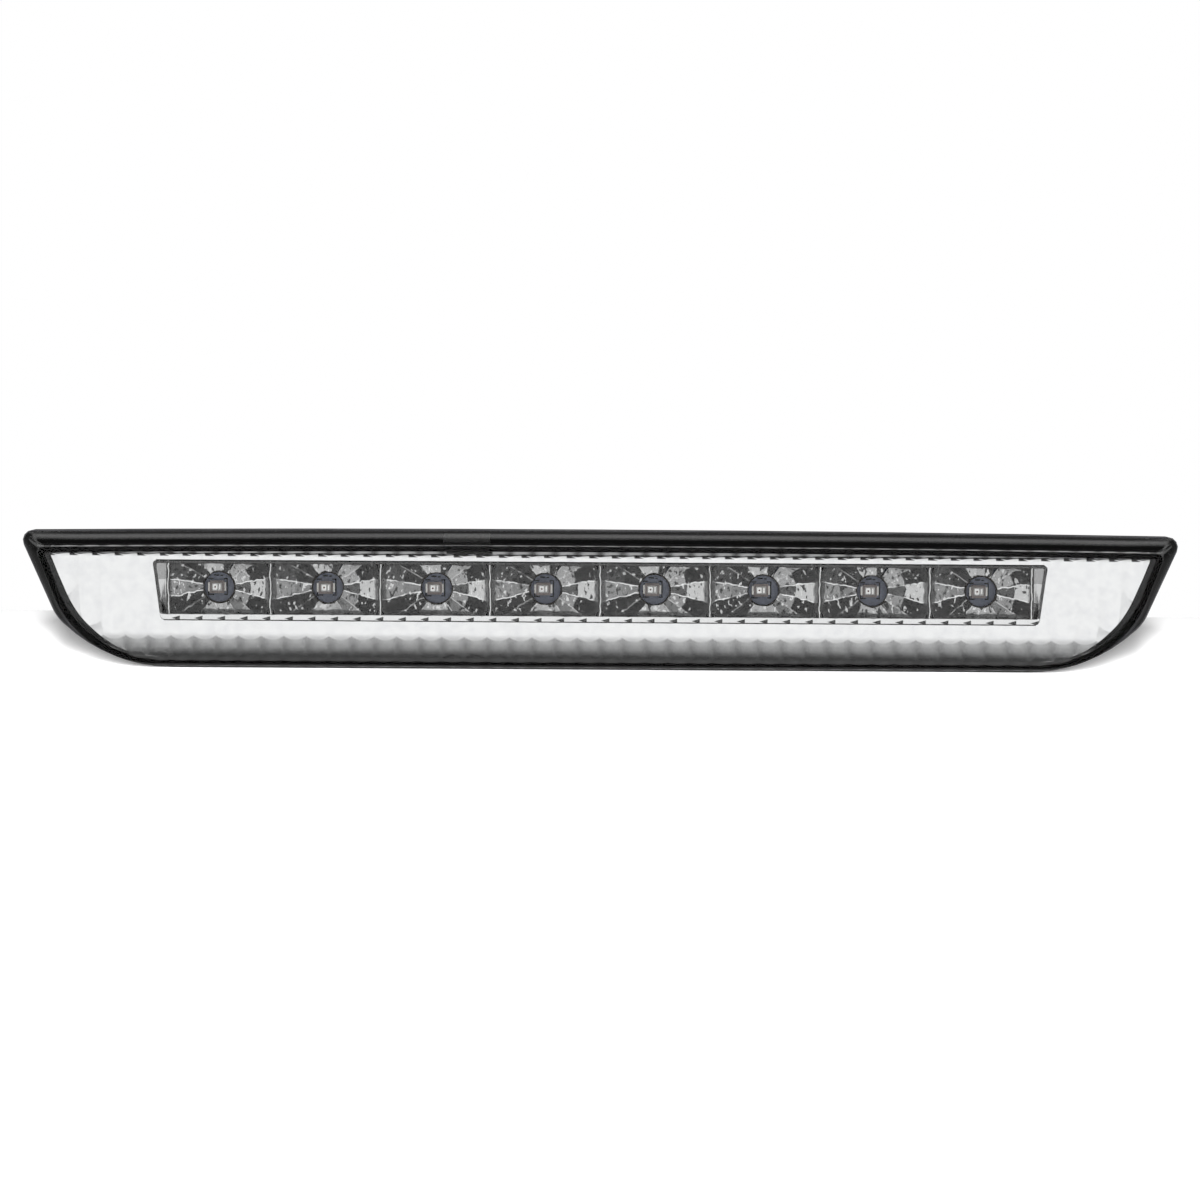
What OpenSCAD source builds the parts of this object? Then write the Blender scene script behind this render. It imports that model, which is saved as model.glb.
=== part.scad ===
// Third brake light for the rear of a car: a shallow sealed lamp with a clear cover, a fluted
// chrome bezel and a row of faceted cups, each lit by one red LED on a shared circuit board.
// Frame: millimetres. +X runs along the lamp, +Z is up and -Y is the way the light leaves.
// The origin lies midway between the two mounting studs, on the plane that their gaskets seat on.

/* [Rim] */
// Width of the rim across its two upper corners
lamp_w = 300; // [250:1:360]
// Height of the rim at its middle
lamp_h = 36.4; // [31:0.2:44]
// Rise of the arched top edge at the middle
top_arch = 0.9; // [0:0.1:2]
// Lean of the two ends from upright, degrees
end_slant = 24; // [18:1:28]
// Radius of the upper corners
corner_r = 2.7; // [2:0.1:3.4]
// Height of the bend in each end above the bottom edge
chin_rise = 13; // [11:0.5:15]
// Slope of the line from that bend to the bottom edge, degrees
chin_slope = 43; // [38:1:48]

/* [Depth] */
// Depth from the stud plane to the front of the cover
front_depth = 32; // [31:0.5:36]
// Depth of the cover ahead of the housing
cover_depth = 10; // [9:0.5:12]
// Gap from the back wall of the housing to the stud plane
stud_boss_h = 5; // [4:0.5:7]
// Thickness of the foam rings and of the rim gasket
foam_t = 3; // [2:0.5:4]

/* [Cover] */
// Wall of the cover's skirt
skirt_wall = 1.5; // [1.2:0.1:1.8]
// Wall of the cover's face
face_wall = 1.8; // [1.5:0.1:2.2]
// How far the face's top edge lies below the rim's
face_drop = 3.9; // [3.5:0.1:4.8]
// How far the face's bottom edge lies above the rim's
face_rise = 1.8; // [1.6:0.1:3]
// How far the face's upper corners lie inside the rim's
face_end_inset = 6.4; // [5.5:0.1:8]
// Lean of the face's two ends from upright, degrees
face_slant = 20.7; // [18:0.5:24]
// Radius of the face's lower corners
face_corner_r = 28; // [20:1:32]

/* [Housing] */
// Outer wall of the rim channel
channel_lip = 0.9; // [0.8:0.1:1.4]
// Width of the groove that takes the cover's skirt
groove_w = 2.5; // [2.2:0.1:3]
// Depth of that groove
groove_d = 3; // [2.5:0.1:3.5]
// Front-to-back size of the rim channel
channel_d = 4; // [4:0.1:5]
// Wall of the housing tub
tub_wall = 1.6; // [1.4:0.1:2]
// Thickness of the housing's back wall
back_wall = 2; // [1.8:0.1:2.6]

/* [Lamp optics] */
// Number of LEDs
led_count = 8; // [4:2:10]
// Height of the row of cups
strip_h = 15.4; // [13:0.1:16]
// Gap from the bezel's top edge down to the row of cups
strip_gap = 2.1; // [1.8:0.1:3]
// Distance from the rim's end to the end of the row of cups
strip_margin = 34.3; // [31:0.1:40]
// Depth of each cup from its rim to its floor
cup_depth = 8; // [7:0.2:8.4]
// Diameter of the hole that each LED shows through
led_hole_d = 7.8; // [6.5:0.1:9]
// Spacing of the bezel's vertical flutes
flute_pitch = 5.85; // [5:0.05:8]
// Depth of the bezel's flutes
flute_depth = 0.5; // [0.3:0.1:1]

/* [Mounting] */
// Distance between the two mounting studs
stud_spacing = 180; // [150:1:200]
// Thread diameter of the studs
stud_d = 5; // [4:0.5:6]
// Free length of the studs past the stud plane
stud_len = 16; // [12:1:25]

/* [Connector] */
// Distance of the connector from the lamp's middle
plug_x = 45; // [35:1:60]
// Width of the connector's shell
plug_w = 17; // [15:0.5:20]
// Height of the connector's shell
plug_h = 11; // [10:0.5:13]
// Length of the connector's shell behind its flange
plug_len = 13; // [11:0.5:16]

/* [Hidden] */

clear = 0.2;                                   // gap between neighbours that slip past each other
arc_n = 8;                                     // steps in a large corner
arch_n = 8;                                    // steps along the arched top edge
$fn = 48;

// Depths, from the front to the stud plane at y = 0
front_y = -front_depth;
rim_y = front_y + cover_depth;                 // front of the rim channel
channel_back_y = rim_y + channel_d;
back_y = -stud_boss_h - foam_t;                // outside of the housing's back wall
inner_back_y = back_y - back_wall;

// Widths across the rim channel, measured inwards from the rim
skirt_in = channel_lip + 0.1;                  // outside of the cover's skirt where it enters the groove
shoulder_in = 0.3;                             // outside of the cover where it rests on the channel's lip
tongue_d = groove_d - 0.6;
groove_in = channel_lip + groove_w;
tub_in = groove_in + 1.2;                      // outside of the tub wall
room_in = tub_in + tub_wall;                   // inside of the tub wall

// ---- outlines -------------------------------------------------------------------------------

function unit(v) = v / norm(v);
function turned(a, b, c) = let (u = unit(a - b), v = unit(c - b)) acos(u * v) / 2;

// Points that round the corner b between its neighbours a and c, going anticlockwise
function corner(a, b, c, r, n) =
    let (u = unit(a - b), v = unit(c - b), half = acos(u * v) / 2)
    half > 89.2 || r <= 0 ? [b] :
    let (mid = b + unit(u + v) * r / sin(half), p = b + u * r / tan(half) - mid, a0 = atan2(p[1], p[0]))
    [for (i = [0:n]) mid + r * [cos(a0 + (180 - 2 * half) * i / n), sin(a0 + (180 - 2 * half) * i / n)]];

// The same corner list moved inwards by d, with each corner's radius following
function moved_in(v, d) =
    let (n = len(v))
    [for (i = [0:n - 1])
        let (a = v[(i + n - 1) % n], b = v[i], c = v[(i + 1) % n],
             pa = [a[0], a[1]], pb = [b[0], b[1]], pc = [c[0], c[1]],
             u = unit(pa - pb), w = unit(pc - pb), half = acos(u * w) / 2,
             side = half > 89.99 ? [-(pc - pb)[1], (pc - pb)[0]] : u + w)
        let (q = pb + unit(side) * d / sin(half)) [q[0], q[1], b[2] > 0 ? max(b[2] - d, 0.4) : 0]];

function rounded(v) =
    let (n = len(v))
    [for (i = [0:n - 1])
        let (a = v[(i + n - 1) % n], b = v[i], c = v[(i + 1) % n])
        each corner([a[0], a[1]], [b[0], b[1]], [c[0], c[1]], b[2], b[2] > 5 ? arc_n : 4)];

// Mirrors the right half of a corner list, given from bottom to top, and adds an arched top edge
function whole(right, arch) =
    let (m = len(right) - 1, top = right[m])
    concat(right,
           arch <= 0 ? [] : [for (i = [1:arch_n - 1])
               let (t = 1 - 2 * i / arch_n) [top[0] * t, top[1] + arch * (1 - t * t), 0]],
           [for (i = [m:-1:0]) [-right[i][0], right[i][1], right[i][2]]]);

top_x = lamp_w / 2 + corner_r * ((1 + sin(end_slant)) / cos(end_slant) - 1);
top_z = lamp_h / 2 - top_arch;
bend_z = chin_rise - lamp_h / 2;
bend_x = top_x - (top_z - bend_z) * tan(end_slant);
chin_run = chin_rise / tan(chin_slope);
bend_r = 12;
bend_t = bend_r * tan((90 - end_slant - chin_slope) / 2);
chin_r = (chin_rise / sin(chin_slope) - bend_t - 0.3) / tan(chin_slope / 2);
RIM = whole([[bend_x - chin_run, -lamp_h / 2, chin_r], [bend_x, bend_z, bend_r], [top_x, top_z, corner_r]],
            top_arch);

face_top_x = top_x - face_end_inset;
face_top_z = top_z - face_drop;
face_low_z = face_rise - lamp_h / 2;
face_low_x = face_top_x - (face_top_z - face_low_z) * tan(face_slant);
FACE = whole([[face_low_x, face_low_z, face_corner_r], [face_top_x, face_top_z, 1.6]], top_arch);

bezel_top_z = lamp_h / 2 - 6.3;
bezel_low_z = 3.2 - lamp_h / 2;
bezel_slant = 22.5;
bezel_top_x = top_x - 8.8;
bezel_low_x = bezel_top_x - (bezel_top_z - bezel_low_z) * tan(bezel_slant);
bezel_corner_r = 27;
BEZEL = whole([[bezel_low_x, bezel_low_z, bezel_corner_r], [bezel_top_x, bezel_top_z, 0.8]], 0);

// Row of cups: a shallow trapezium, wider at its top
strip_top_z = bezel_top_z - strip_gap;
strip_low_z = strip_top_z - strip_h;
strip_x = lamp_w / 2 - strip_margin;
strip_taper = 2;
frame_wall = 0.7;                              // frame above the cups and at their ends
frame_low = 1.6;                               // frame below the cups
STRIP = whole([[strip_x - strip_taper, strip_low_z, 1.2], [strip_x, strip_top_z, 0.9]], 0);

// ---- row of LEDs ----------------------------------------------------------------------------

end_cell = 12.2;                               // outermost LED to the ridge past it
end_pocket = 4;                                // that ridge to the end of the row
led_pitch = (strip_x - end_cell - end_pocket) / (led_count / 2 - 0.5);
LED_X = [for (i = [0:led_count - 1]) (i - (led_count - 1) / 2) * led_pitch];
RIDGE_X = [for (i = [1:led_count - 1]) (i - led_count / 2) * led_pitch];
led_z = (strip_top_z - frame_wall + strip_low_z + frame_low) / 2;
cup_half_h = (strip_h - frame_wall - frame_low) / 2;
led_shift = -0.6;                              // the board sits this far off the cups' middle
ridge_w = 1.1;

wall_y = rim_y - 2.6;                          // crests between the bezel's flutes
bezel_wall = 1.2;
bezel_back_y = wall_y + flute_depth + bezel_wall;
strip_front_y = wall_y - 0.8;
cup_floor_y = strip_front_y + cup_depth;
floor_wall = 1.2;
reflector_back_y = cup_floor_y + floor_wall;

board_t = 1.6;
board_front_y = reflector_back_y;
board_back_y = board_front_y + board_t;
board_x = LED_X[led_count - 1] + end_cell + 1;
board_half_h = cup_half_h + 0.1;

package_w = 3.7;
package_h = 3.3;
package_t = 1.4;
well_w = 2.6;
well_h = 2;
well_d = 0.7;
die_w = 0.5;
die_t = 0.15;
lead_w = 0.5;
lead_t = 0.3;

// ---- fasteners ------------------------------------------------------------------------------

board_screw_ridges = [0, floor(led_count / 2) - 1, led_count - 2];
BOARD_SCREWS = [for (i = board_screw_ridges) [RIDGE_X[i], led_z]];
ear_r = 2.6;
ear_z = strip_low_z - 3.6;
EARS = [for (s = [-1, 0, 1]) [s * (strip_x - 18.5), ear_z]];
ear_t = 1.5;
small_screw_d = 2;
small_head_d = 3.8;
small_head_h = 1.2;
small_screw_len = 6;

post_r = 2.4;
post_end_y = inner_back_y - 2;
post_low_z = bezel_low_z + 6.2;
POSTS = [for (s = [-1, 1]) each [[s * (strip_x - 41.5), post_low_z], [s * (strip_x + 11.5), led_z]]];
case_screw_d = 2.6;
case_screw_len = 11;
case_head_d = 5.6;
case_head_h = 2;
seal_t = 0.8;

stud_neck_d = stud_d + 1;
stud_head_af = stud_d + 3;
stud_head_h = 2;
STUDS = [for (s = [-1, 1]) [s * stud_spacing / 2, 0]];
boss_r = 7;
foam_ring_r = 7.5;

// ---- connector and vent ---------------------------------------------------------------------

plug_wall = 1.4;
plug_flange = 2;                               // flange past the shell on every side
plug_flange_t = 1.5;
plug_seat_y = back_y + seal_t;                 // the flange rests on its seal
plug_mouth_y = plug_seat_y + plug_len;
plug_floor_y = plug_seat_y + plug_flange_t + 1;
plug_throat = 1.6;                             // throat through the back wall, inside the shell's size
pin_gap = 5;
pin_w = 2.8;
pin_t = 0.8;
pin_tip_y = plug_mouth_y - 5.2;
pin_tail_y = inner_back_y - 1.4;
PIN_X = [plug_x - pin_gap / 2, plug_x + pin_gap / 2];

wire_r = 0.65;
pad_run = 14;                                  // from a pin along the board to its solder pad
PAD_Z = [led_z - 3, led_z + 1];

vent_x = -40;
vent_r = 3;
vent_bore_r = 1.6;
vent_h = 4;

// ---- helpers --------------------------------------------------------------------------------

module slab(points, y0, y1) {
    translate([0, y1, 0]) rotate([90, 0, 0]) linear_extrude(y1 - y0) polygon(points);
}

module ring(corners, in0, in1, y0, y1) {
    difference() {
        slab(rounded(moved_in(corners, in0)), y0, y1);
        slab(rounded(moved_in(corners, in1)), y0 - 1, y1 + 1);
    }
}

module rod(at, r, y0, y1) {
    translate([at[0], y1, at[1]]) rotate([90, 0, 0]) cylinder(r = r, h = y1 - y0);
}

module tube(at, r_out, r_in, y0, y1) {
    difference() {
        rod(at, r_out, y0, y1);
        rod(at, r_in, y0 - 1, y1 + 1);
    }
}

module block(x0, x1, y0, y1, z0, z1) {
    translate([x0, y0, z0]) cube([x1 - x0, y1 - y0, z1 - z0]);
}

// Rectangle about a point with round corners, as a slab
module round_block(at, w, h, r, y0, y1) {
    c = [[w / 2, -h / 2, r], [w / 2, h / 2, r]];
    translate([at[0], 0, at[1]]) slab(rounded(whole(c, 0)), y0, y1);
}

// A screw along +Y: its tip at tip_y and the underside of its head at seat_y
module screw(at, d, head_d, head_h, tip_y, seat_y) {
    difference() {
        union() {
            rod(at, d / 2, tip_y, seat_y);
            rod(at, head_d / 2, seat_y, seat_y + head_h);
        }
        for (a = [0, 90])
            translate([at[0], seat_y + head_h, at[1]]) rotate([0, a, 0])
                cube([head_d * 0.55, head_h, head_d * 0.14], center = true);
    }
}

// Round tube swept along a smooth path
function path_dir(p, i) = unit(p[min(i + 1, len(p) - 1)] - p[max(i - 1, 0)]);
module swept(p, r, sides) {
    n = len(p);
    points = [for (i = [0:n - 1])
        let (d = path_dir(p, i), s = unit(cross(d, [0, 0, 1])), u = cross(s, d))
        for (k = [0:sides - 1]) p[i] + r * (cos(360 * k / sides) * s + sin(360 * k / sides) * u)];
    walls = [for (i = [0:n - 2]) for (k = [0:sides - 1])
        let (k2 = (k + 1) % sides)
        [i * sides + k, i * sides + k2, (i + 1) * sides + k2, (i + 1) * sides + k]];
    polyhedron(points, concat([[for (k = [sides - 1:-1:0]) k]],
                              [[for (k = [0:sides - 1]) (n - 1) * sides + k]], walls));
}
function bezier(a, b, c, d, n) =
    [for (i = [0:n]) let (t = i / n, s = 1 - t)
        s * s * s * a + 3 * s * s * t * b + 3 * s * t * t * c + t * t * t * d];

// ---- cover ----------------------------------------------------------------------------------

face_edge = 0.7;                               // chamfer round the cover's face
module thin_slab(points, y) {
    slab(points, y, y + 0.01);
}
module lens() {
    color("whitesmoke", 0.35) {
        difference() {
            hull() {
                thin_slab(rounded(moved_in(RIM, shoulder_in)), rim_y - 0.01);
                thin_slab(rounded(FACE), front_y + face_edge);
                thin_slab(rounded(moved_in(FACE, face_edge)), front_y);
            }
            hull() {
                thin_slab(rounded(moved_in(RIM, skirt_in + skirt_wall)), rim_y);
                thin_slab(rounded(moved_in(FACE, skirt_wall)), front_y + face_wall);
            }
        }
        ring(RIM, skirt_in, skirt_in + skirt_wall, rim_y, rim_y + tongue_d);
    }
}

module lens_seal() {
    color("dimgray") {
        ring(RIM, skirt_in + skirt_wall, groove_in, rim_y + 0.4, rim_y + groove_d);
        ring(RIM, channel_lip, skirt_in + skirt_wall, rim_y + tongue_d, rim_y + groove_d);
    }
}

// ---- bezel ----------------------------------------------------------------------------------

sweep_rise = 7.6;                              // height of the curved lower wall
sweep_run = 2.6;                               // how far it comes forward
sweep_turn = 2 * atan(sweep_run / sweep_rise);
sweep_r = sweep_rise / sin(sweep_turn);
top_lip_y = wall_y - 0.9;
top_wall_drop = 0.7;

module rod_x(y, z, r, half) {
    translate([-half, y, z]) rotate([0, 90, 0]) cylinder(r = r, h = 2 * half, $fn = 96);
}

module along_x(points, half) {
    translate([-half, 0, 0]) rotate([90, 0, 90]) linear_extrude(2 * half) polygon(points);
}

// Room in front of the bezel's face: the slanting upper lip, the straight wall and the sweep below it
module bezel_hollow() {
    foot_z = bezel_low_z + sweep_rise;
    far = front_y - 5;
    along_x([[far, foot_z], [wall_y, foot_z], [wall_y, bezel_top_z - top_wall_drop], [top_lip_y, bezel_top_z],
             [top_lip_y - 1, bezel_top_z + 1], [far, bezel_top_z + 1]], top_x);
    intersection() {
        rod_x(wall_y - sweep_r, foot_z, sweep_r, top_x);
        block(-top_x, top_x, far - 20, wall_y + 1, bezel_low_z - 9, foot_z + 0.5);
    }
}

flute_n = 2 * ceil(bezel_top_x / flute_pitch);
flute_land = 0.3;                              // flat left between neighbouring flutes
flute_half = (flute_pitch - flute_land) / 2;
flute_r = (flute_half * flute_half + flute_depth * flute_depth) / (2 * flute_depth);

// Section of one flute: X across it, Y outwards from a wall at distance r from the sweep's axis
module flute_section() {
    intersection() {
        translate([sweep_r + flute_depth - flute_r, 0]) circle(r = flute_r);
        translate([sweep_r - 0.5, -flute_half - 0.5]) square([flute_depth + 1, 2 * flute_half + 1]);
    }
}

// One flute, straight down the back wall and then round the sweep
module flute() {
    foot_z = bezel_low_z + sweep_rise;
    translate([0, wall_y - sweep_r, foot_z]) {
        rotate([0, 0, 90]) linear_extrude(bezel_top_z - top_wall_drop - foot_z) flute_section();
        rotate([0, -90, 0]) rotate([0, 0, 90]) rotate([0, 0, -1]) rotate_extrude(angle = 75) flute_section();
    }
}

module fluted_bezel() {
    back = concat([for (i = [arc_n:-1:0])
        let (a = sweep_turn * i / arc_n, r = sweep_r + bezel_wall + flute_depth)
        [wall_y - sweep_r + r * cos(a), bezel_low_z + sweep_rise - r * sin(a)]],
        [[bezel_back_y, bezel_top_z + 1], [front_y, bezel_top_z + 1], [front_y, bezel_low_z - 2]]);
    color("gainsboro") difference() {
        union() {
            difference() {
                intersection() {
                    slab(rounded(BEZEL), front_y, bezel_back_y + 1);
                    along_x(back, top_x);
                }
                bezel_hollow();
                for (i = [0:flute_n - 1]) translate([(i + 0.5 - flute_n / 2) * flute_pitch, 0, 0]) flute();
                slab(rounded(moved_in(STRIP, -clear)), front_y, bezel_back_y + 2);
            }
            for (p = POSTS) rod(p, post_r, bezel_back_y - 0.4, post_end_y);
            for (p = EARS) rod(p, 2.2, bezel_back_y - 0.4, reflector_back_y - ear_t);
        }
        for (p = POSTS) rod(p, case_screw_d / 2, back_y - case_screw_len, post_end_y + 1);
        for (p = EARS) rod(p, small_screw_d / 2 - 0.15, reflector_back_y - small_screw_len, reflector_back_y);
    }
}

// ---- cups -----------------------------------------------------------------------------------

facets = 16;
cup_r0 = led_hole_d / 2 + 0.35;
ridge_reach = led_pitch / 2 / cos(180 / facets);
cup_k = (cup_depth - 0.2) / (ridge_reach * ridge_reach - cup_r0 * cup_r0);
cup_r1 = (cup_r0 + ridge_reach) / 2 - 0.9;
function cup_y(r) = cup_floor_y - cup_k * (r * r - cup_r0 * cup_r0);

// Part of a faceted bowl: a pyramid's slice round the LED's axis between two radii
module bowl_slice(r_low, y_low, r_high, y_high) {
    translate([0, y_low, 0]) rotate([90, 0, 0]) rotate([0, 0, 180 / facets])
        cylinder(r1 = r_low, r2 = r_high, h = y_low - y_high, $fn = facets);
}

// Faceted bowl, whose slices follow a parabola
module bowl() {
    slope = (cup_y(ridge_reach) - cup_y(cup_r1)) / (ridge_reach - cup_r1);
    bowl_slice(cup_r0, cup_floor_y, cup_r1, cup_y(cup_r1));
    bowl_slice(cup_r1, cup_y(cup_r1), ridge_reach + 4, cup_y(ridge_reach) + 4 * slope);
}

// Flat floor above and below each LED, between the bowl's slanting facets
module floor_bow(half_h) {
    w = half_h * tan(90 - 2.5 * 360 / facets);
    slab([[0, 0], [w, half_h], [-w, half_h]], front_y, cup_floor_y);
    slab([[0, 0], [-w, -half_h], [w, -half_h]], front_y, cup_floor_y);
}

module cell(i) {
    x = LED_X[i];
    left = i == 0 ? end_cell : led_pitch / 2;
    right = i == led_count - 1 ? end_cell : led_pitch / 2;
    intersection() {
        block(x - left + ridge_w / 2, x + right - ridge_w / 2, front_y, cup_floor_y + 0.01,
              led_z - cup_half_h, led_z + cup_half_h);
        translate([x, 0, led_z]) union() {
            bowl();
            floor_bow(cup_half_h);
        }
    }
    rod([x, led_z], led_hole_d / 2, front_y, reflector_back_y + 1);
}

// Slanting pocket between the last ridge and the end of the row
module end_pocket_cut(s) {
    x0 = LED_X[led_count - 1] + end_cell + ridge_w / 2;
    x1 = strip_x - frame_wall;
    intersection() {
        slab(rounded(moved_in(STRIP, frame_wall)), front_y, cup_floor_y);
        block(-lamp_w, lamp_w, front_y, cup_floor_y, led_z - cup_half_h, led_z + cup_half_h);
        mirror([s < 0 ? 1 : 0, 0, 0]) translate([0, 0, strip_low_z]) linear_extrude(strip_h)
            polygon([[x0, front_y], [x0, strip_front_y + 2.4], [x1, strip_front_y + 0.6], [x1, front_y]]);
    }
}

module back_pocket(x) {
    half_w = led_pitch / 2 - led_hole_d / 2 - 4.1;
    translate([x, 0, strip_low_z + 1.2]) linear_extrude(strip_h - 2.4)
        polygon([[-half_w, reflector_back_y + 1], [-half_w, reflector_back_y - 0.01],
                 [0, strip_front_y + 2.4], [half_w, reflector_back_y - 0.01], [half_w, reflector_back_y + 1]]);
}

module cup_reflector() {
    color("silver") difference() {
        union() {
            difference() {
                union() {
                    slab(rounded(STRIP), strip_front_y, reflector_back_y);
                    slab(rounded(moved_in(STRIP, -1.2)), bezel_back_y, bezel_back_y + 1.2);
                }
                for (i = [0:led_count - 1]) cell(i);
                for (s = [-1, 1]) end_pocket_cut(s);
                for (x = RIDGE_X) back_pocket(x);
            }
            for (p = BOARD_SCREWS) rod(p, 2.2, strip_front_y + 3.4, reflector_back_y);
            for (p = EARS) {
                rod(p, ear_r, reflector_back_y - ear_t, reflector_back_y);
                block(p[0] - ear_r, p[0] + ear_r, reflector_back_y - ear_t, reflector_back_y,
                      p[1], strip_low_z + 0.5);
            }
        }
        for (p = BOARD_SCREWS)
            rod(p, small_screw_d / 2 - 0.15, board_back_y - small_screw_len, reflector_back_y + 1);
        for (p = EARS) rod(p, small_screw_d / 2 + 0.1, reflector_back_y - ear_t - 1, reflector_back_y + 1);
        for (p = POSTS) rod(p, post_r + 0.1, bezel_back_y - 1, bezel_back_y + 2);
    }
}

// ---- circuit board --------------------------------------------------------------------------

module led_board() {
    color("slategray") difference() {
        round_block([0, led_z], 2 * board_x, 2 * board_half_h, 1.5, board_front_y, board_back_y);
        for (p = BOARD_SCREWS) rod(p, small_screw_d / 2 + 0.1, board_front_y - 1, board_back_y + 1);
    }
}

module each_led() {
    for (x = LED_X) translate([x + led_shift, board_front_y, led_z]) children();
}

module led_packages() {
    color("linen") each_led() difference() {
        block(-package_w / 2, package_w / 2, -package_t, -0.1, -package_h / 2, package_h / 2);
        block(-well_w / 2, well_w / 2, -package_t - 1, -package_t + well_d, -well_h / 2, well_h / 2);
    }
}

module led_leads() {
    color("silver") each_led() for (s = [-1, 1]) {
        a = s < 0 ? -package_w / 2 - lead_w : package_w / 2;
        block(a, a + lead_w, -lead_t - 0.5, 0, -package_h / 2 + 0.5, package_h / 2 - 0.5);
        block(min(a, s), max(a + lead_w, s), -0.1, 0, -package_h / 2 + 0.5, package_h / 2 - 0.5);
    }
}

module led_resin() {
    color("mistyrose", 0.6) each_led() difference() {
        block(-well_w / 2, well_w / 2, -package_t + 0.05, -package_t + well_d, -well_h / 2, well_h / 2);
        block(-die_w / 2, die_w / 2, -package_t + well_d - die_t, -package_t + well_d + 1, -die_w / 2, die_w / 2);
    }
}

module led_dies() {
    color("darkred") each_led()
        block(-die_w / 2, die_w / 2, -package_t + well_d - die_t, -package_t + well_d, -die_w / 2, die_w / 2);
}

module chip_resistors() {
    color("darkslategray") for (x = LED_X)
        block(x + 5, x + 8.2, board_back_y, board_back_y + 0.6, led_z + 3.4, led_z + 5);
}

module polarity_diode() {
    x = plug_x - pin_gap / 2 - pad_run - 14;
    color("darkslategray") block(x, x + 4.3, board_back_y, board_back_y + 2, led_z - 5.2, led_z - 2.6);
}

module filter_capacitor() {
    x = plug_x - pin_gap / 2 - pad_run - 7.5;
    color("tan") block(x, x + 3.2, board_back_y, board_back_y + 1.4, led_z - 5.2, led_z - 2.7);
}

module board_screws() {
    color("lightsteelblue") for (p = BOARD_SCREWS)
        screw(p, small_screw_d - 0.3, small_head_d, small_head_h, board_back_y - small_screw_len, board_back_y);
}

module reflector_screws() {
    color("lightsteelblue") for (p = EARS)
        screw(p, small_screw_d - 0.3, small_head_d, small_head_h,
              reflector_back_y - small_screw_len, reflector_back_y);
}

// ---- housing --------------------------------------------------------------------------------

rib_h = 1;
rib_t = 1.4;
module ribs() {
    low = -lamp_h / 2 + tub_in;
    high = top_z - tub_in;
    for (x = [-2, -1, 1, 2] * stud_spacing / 12)
        block(x - rib_t / 2, x + rib_t / 2, back_y - 0.1, back_y + rib_h, low + 1.5, high - 1.5);
    for (z = [low + 1.5, high - 1.5])
        block(-stud_spacing / 2, stud_spacing / 2, back_y - 0.1, back_y + rib_h, z - rib_t / 2, z + rib_t / 2);
    for (p = STUDS) {
        block(p[0] - boss_r - 4, p[0] + boss_r + 4, back_y - 0.1, back_y + stud_boss_h - 2, -rib_t / 2, rib_t / 2);
        block(p[0] - rib_t / 2, p[0] + rib_t / 2, back_y - 0.1, back_y + stud_boss_h - 2, low + 1, high - 1);
    }
}

module housing() {
    color([0.09, 0.09, 0.1]) difference() {
        union() {
            slab(rounded(RIM), rim_y, channel_back_y);
            slab(rounded(moved_in(RIM, tub_in)), channel_back_y - 0.5, back_y);
            difference() {
                ribs();
                for (p = POSTS) rod(p, case_head_d / 2 + 0.8, back_y - 1, back_y + stud_boss_h);
                rod([vent_x, 0], vent_r + 2, back_y - 1, back_y + stud_boss_h);
                round_block([plug_x, 0], plug_w + 2 * plug_flange + 1, plug_h + 2 * plug_flange + 1, 3,
                            back_y - 1, back_y + stud_boss_h);
            }
            for (p = STUDS) rod(p, boss_r, back_y - 0.1, back_y + stud_boss_h);
            rod([vent_x, 0], vent_r, back_y - 0.1, back_y + vent_h);
        }
        slab(rounded(moved_in(RIM, room_in)), rim_y - 1, inner_back_y);
        ring(RIM, channel_lip, groove_in, rim_y - 1, rim_y + groove_d);
        for (p = STUDS) rod(p, stud_neck_d / 2, inner_back_y - 1, back_y + stud_boss_h + 1);
        for (p = POSTS) rod(p, case_screw_d / 2 + 0.3, inner_back_y - 1, back_y + 1);
        rod([vent_x, 0], vent_bore_r, inner_back_y - 1, back_y + vent_h + 1);
        round_block([plug_x, 0], plug_w - 2 * plug_throat + 2 * clear, plug_h - 2 * plug_throat + 2 * clear,
                    1.5, inner_back_y - 1, back_y + 1);
    }
    color([0.09, 0.09, 0.1]) for (p = POSTS)
        tube(p, 3.4, case_screw_d / 2 + 0.3, post_end_y, inner_back_y + 0.1);
}

module housing_screws() {
    color("lightsteelblue") for (p = POSTS)
        screw(p, case_screw_d, case_head_d, case_head_h, back_y - case_screw_len, back_y + seal_t);
}

module screw_seals() {
    color("black") for (p = POSTS) tube(p, case_head_d / 2 + 0.3, case_screw_d / 2 + 0.1, back_y, back_y + seal_t);
}

module rim_gasket() {
    color([0.16, 0.16, 0.17]) ring(RIM, 0.6, tub_in - clear, channel_back_y, channel_back_y + foam_t);
}

module mounting_studs() {
    tip = 0.8;
    color("gold") for (p = STUDS) {
        rod(p, stud_neck_d / 2, inner_back_y, 0);
        rod(p, stud_d / 2, 0, stud_len - tip);
        translate([p[0], stud_len - tip, p[1]]) rotate([-90, 0, 0])
            cylinder(r1 = stud_d / 2, r2 = stud_d / 2 - tip, h = tip);
        translate([p[0], inner_back_y, p[1]]) rotate([90, 0, 0])
            cylinder(r = stud_head_af / 2 / cos(30), h = stud_head_h, $fn = 6);
    }
}

module stud_gaskets() {
    color([0.2, 0.2, 0.21]) for (p = STUDS)
        tube(p, foam_ring_r, stud_neck_d / 2 + clear, back_y + stud_boss_h, 0);
}

// ---- connector ------------------------------------------------------------------------------

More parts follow.
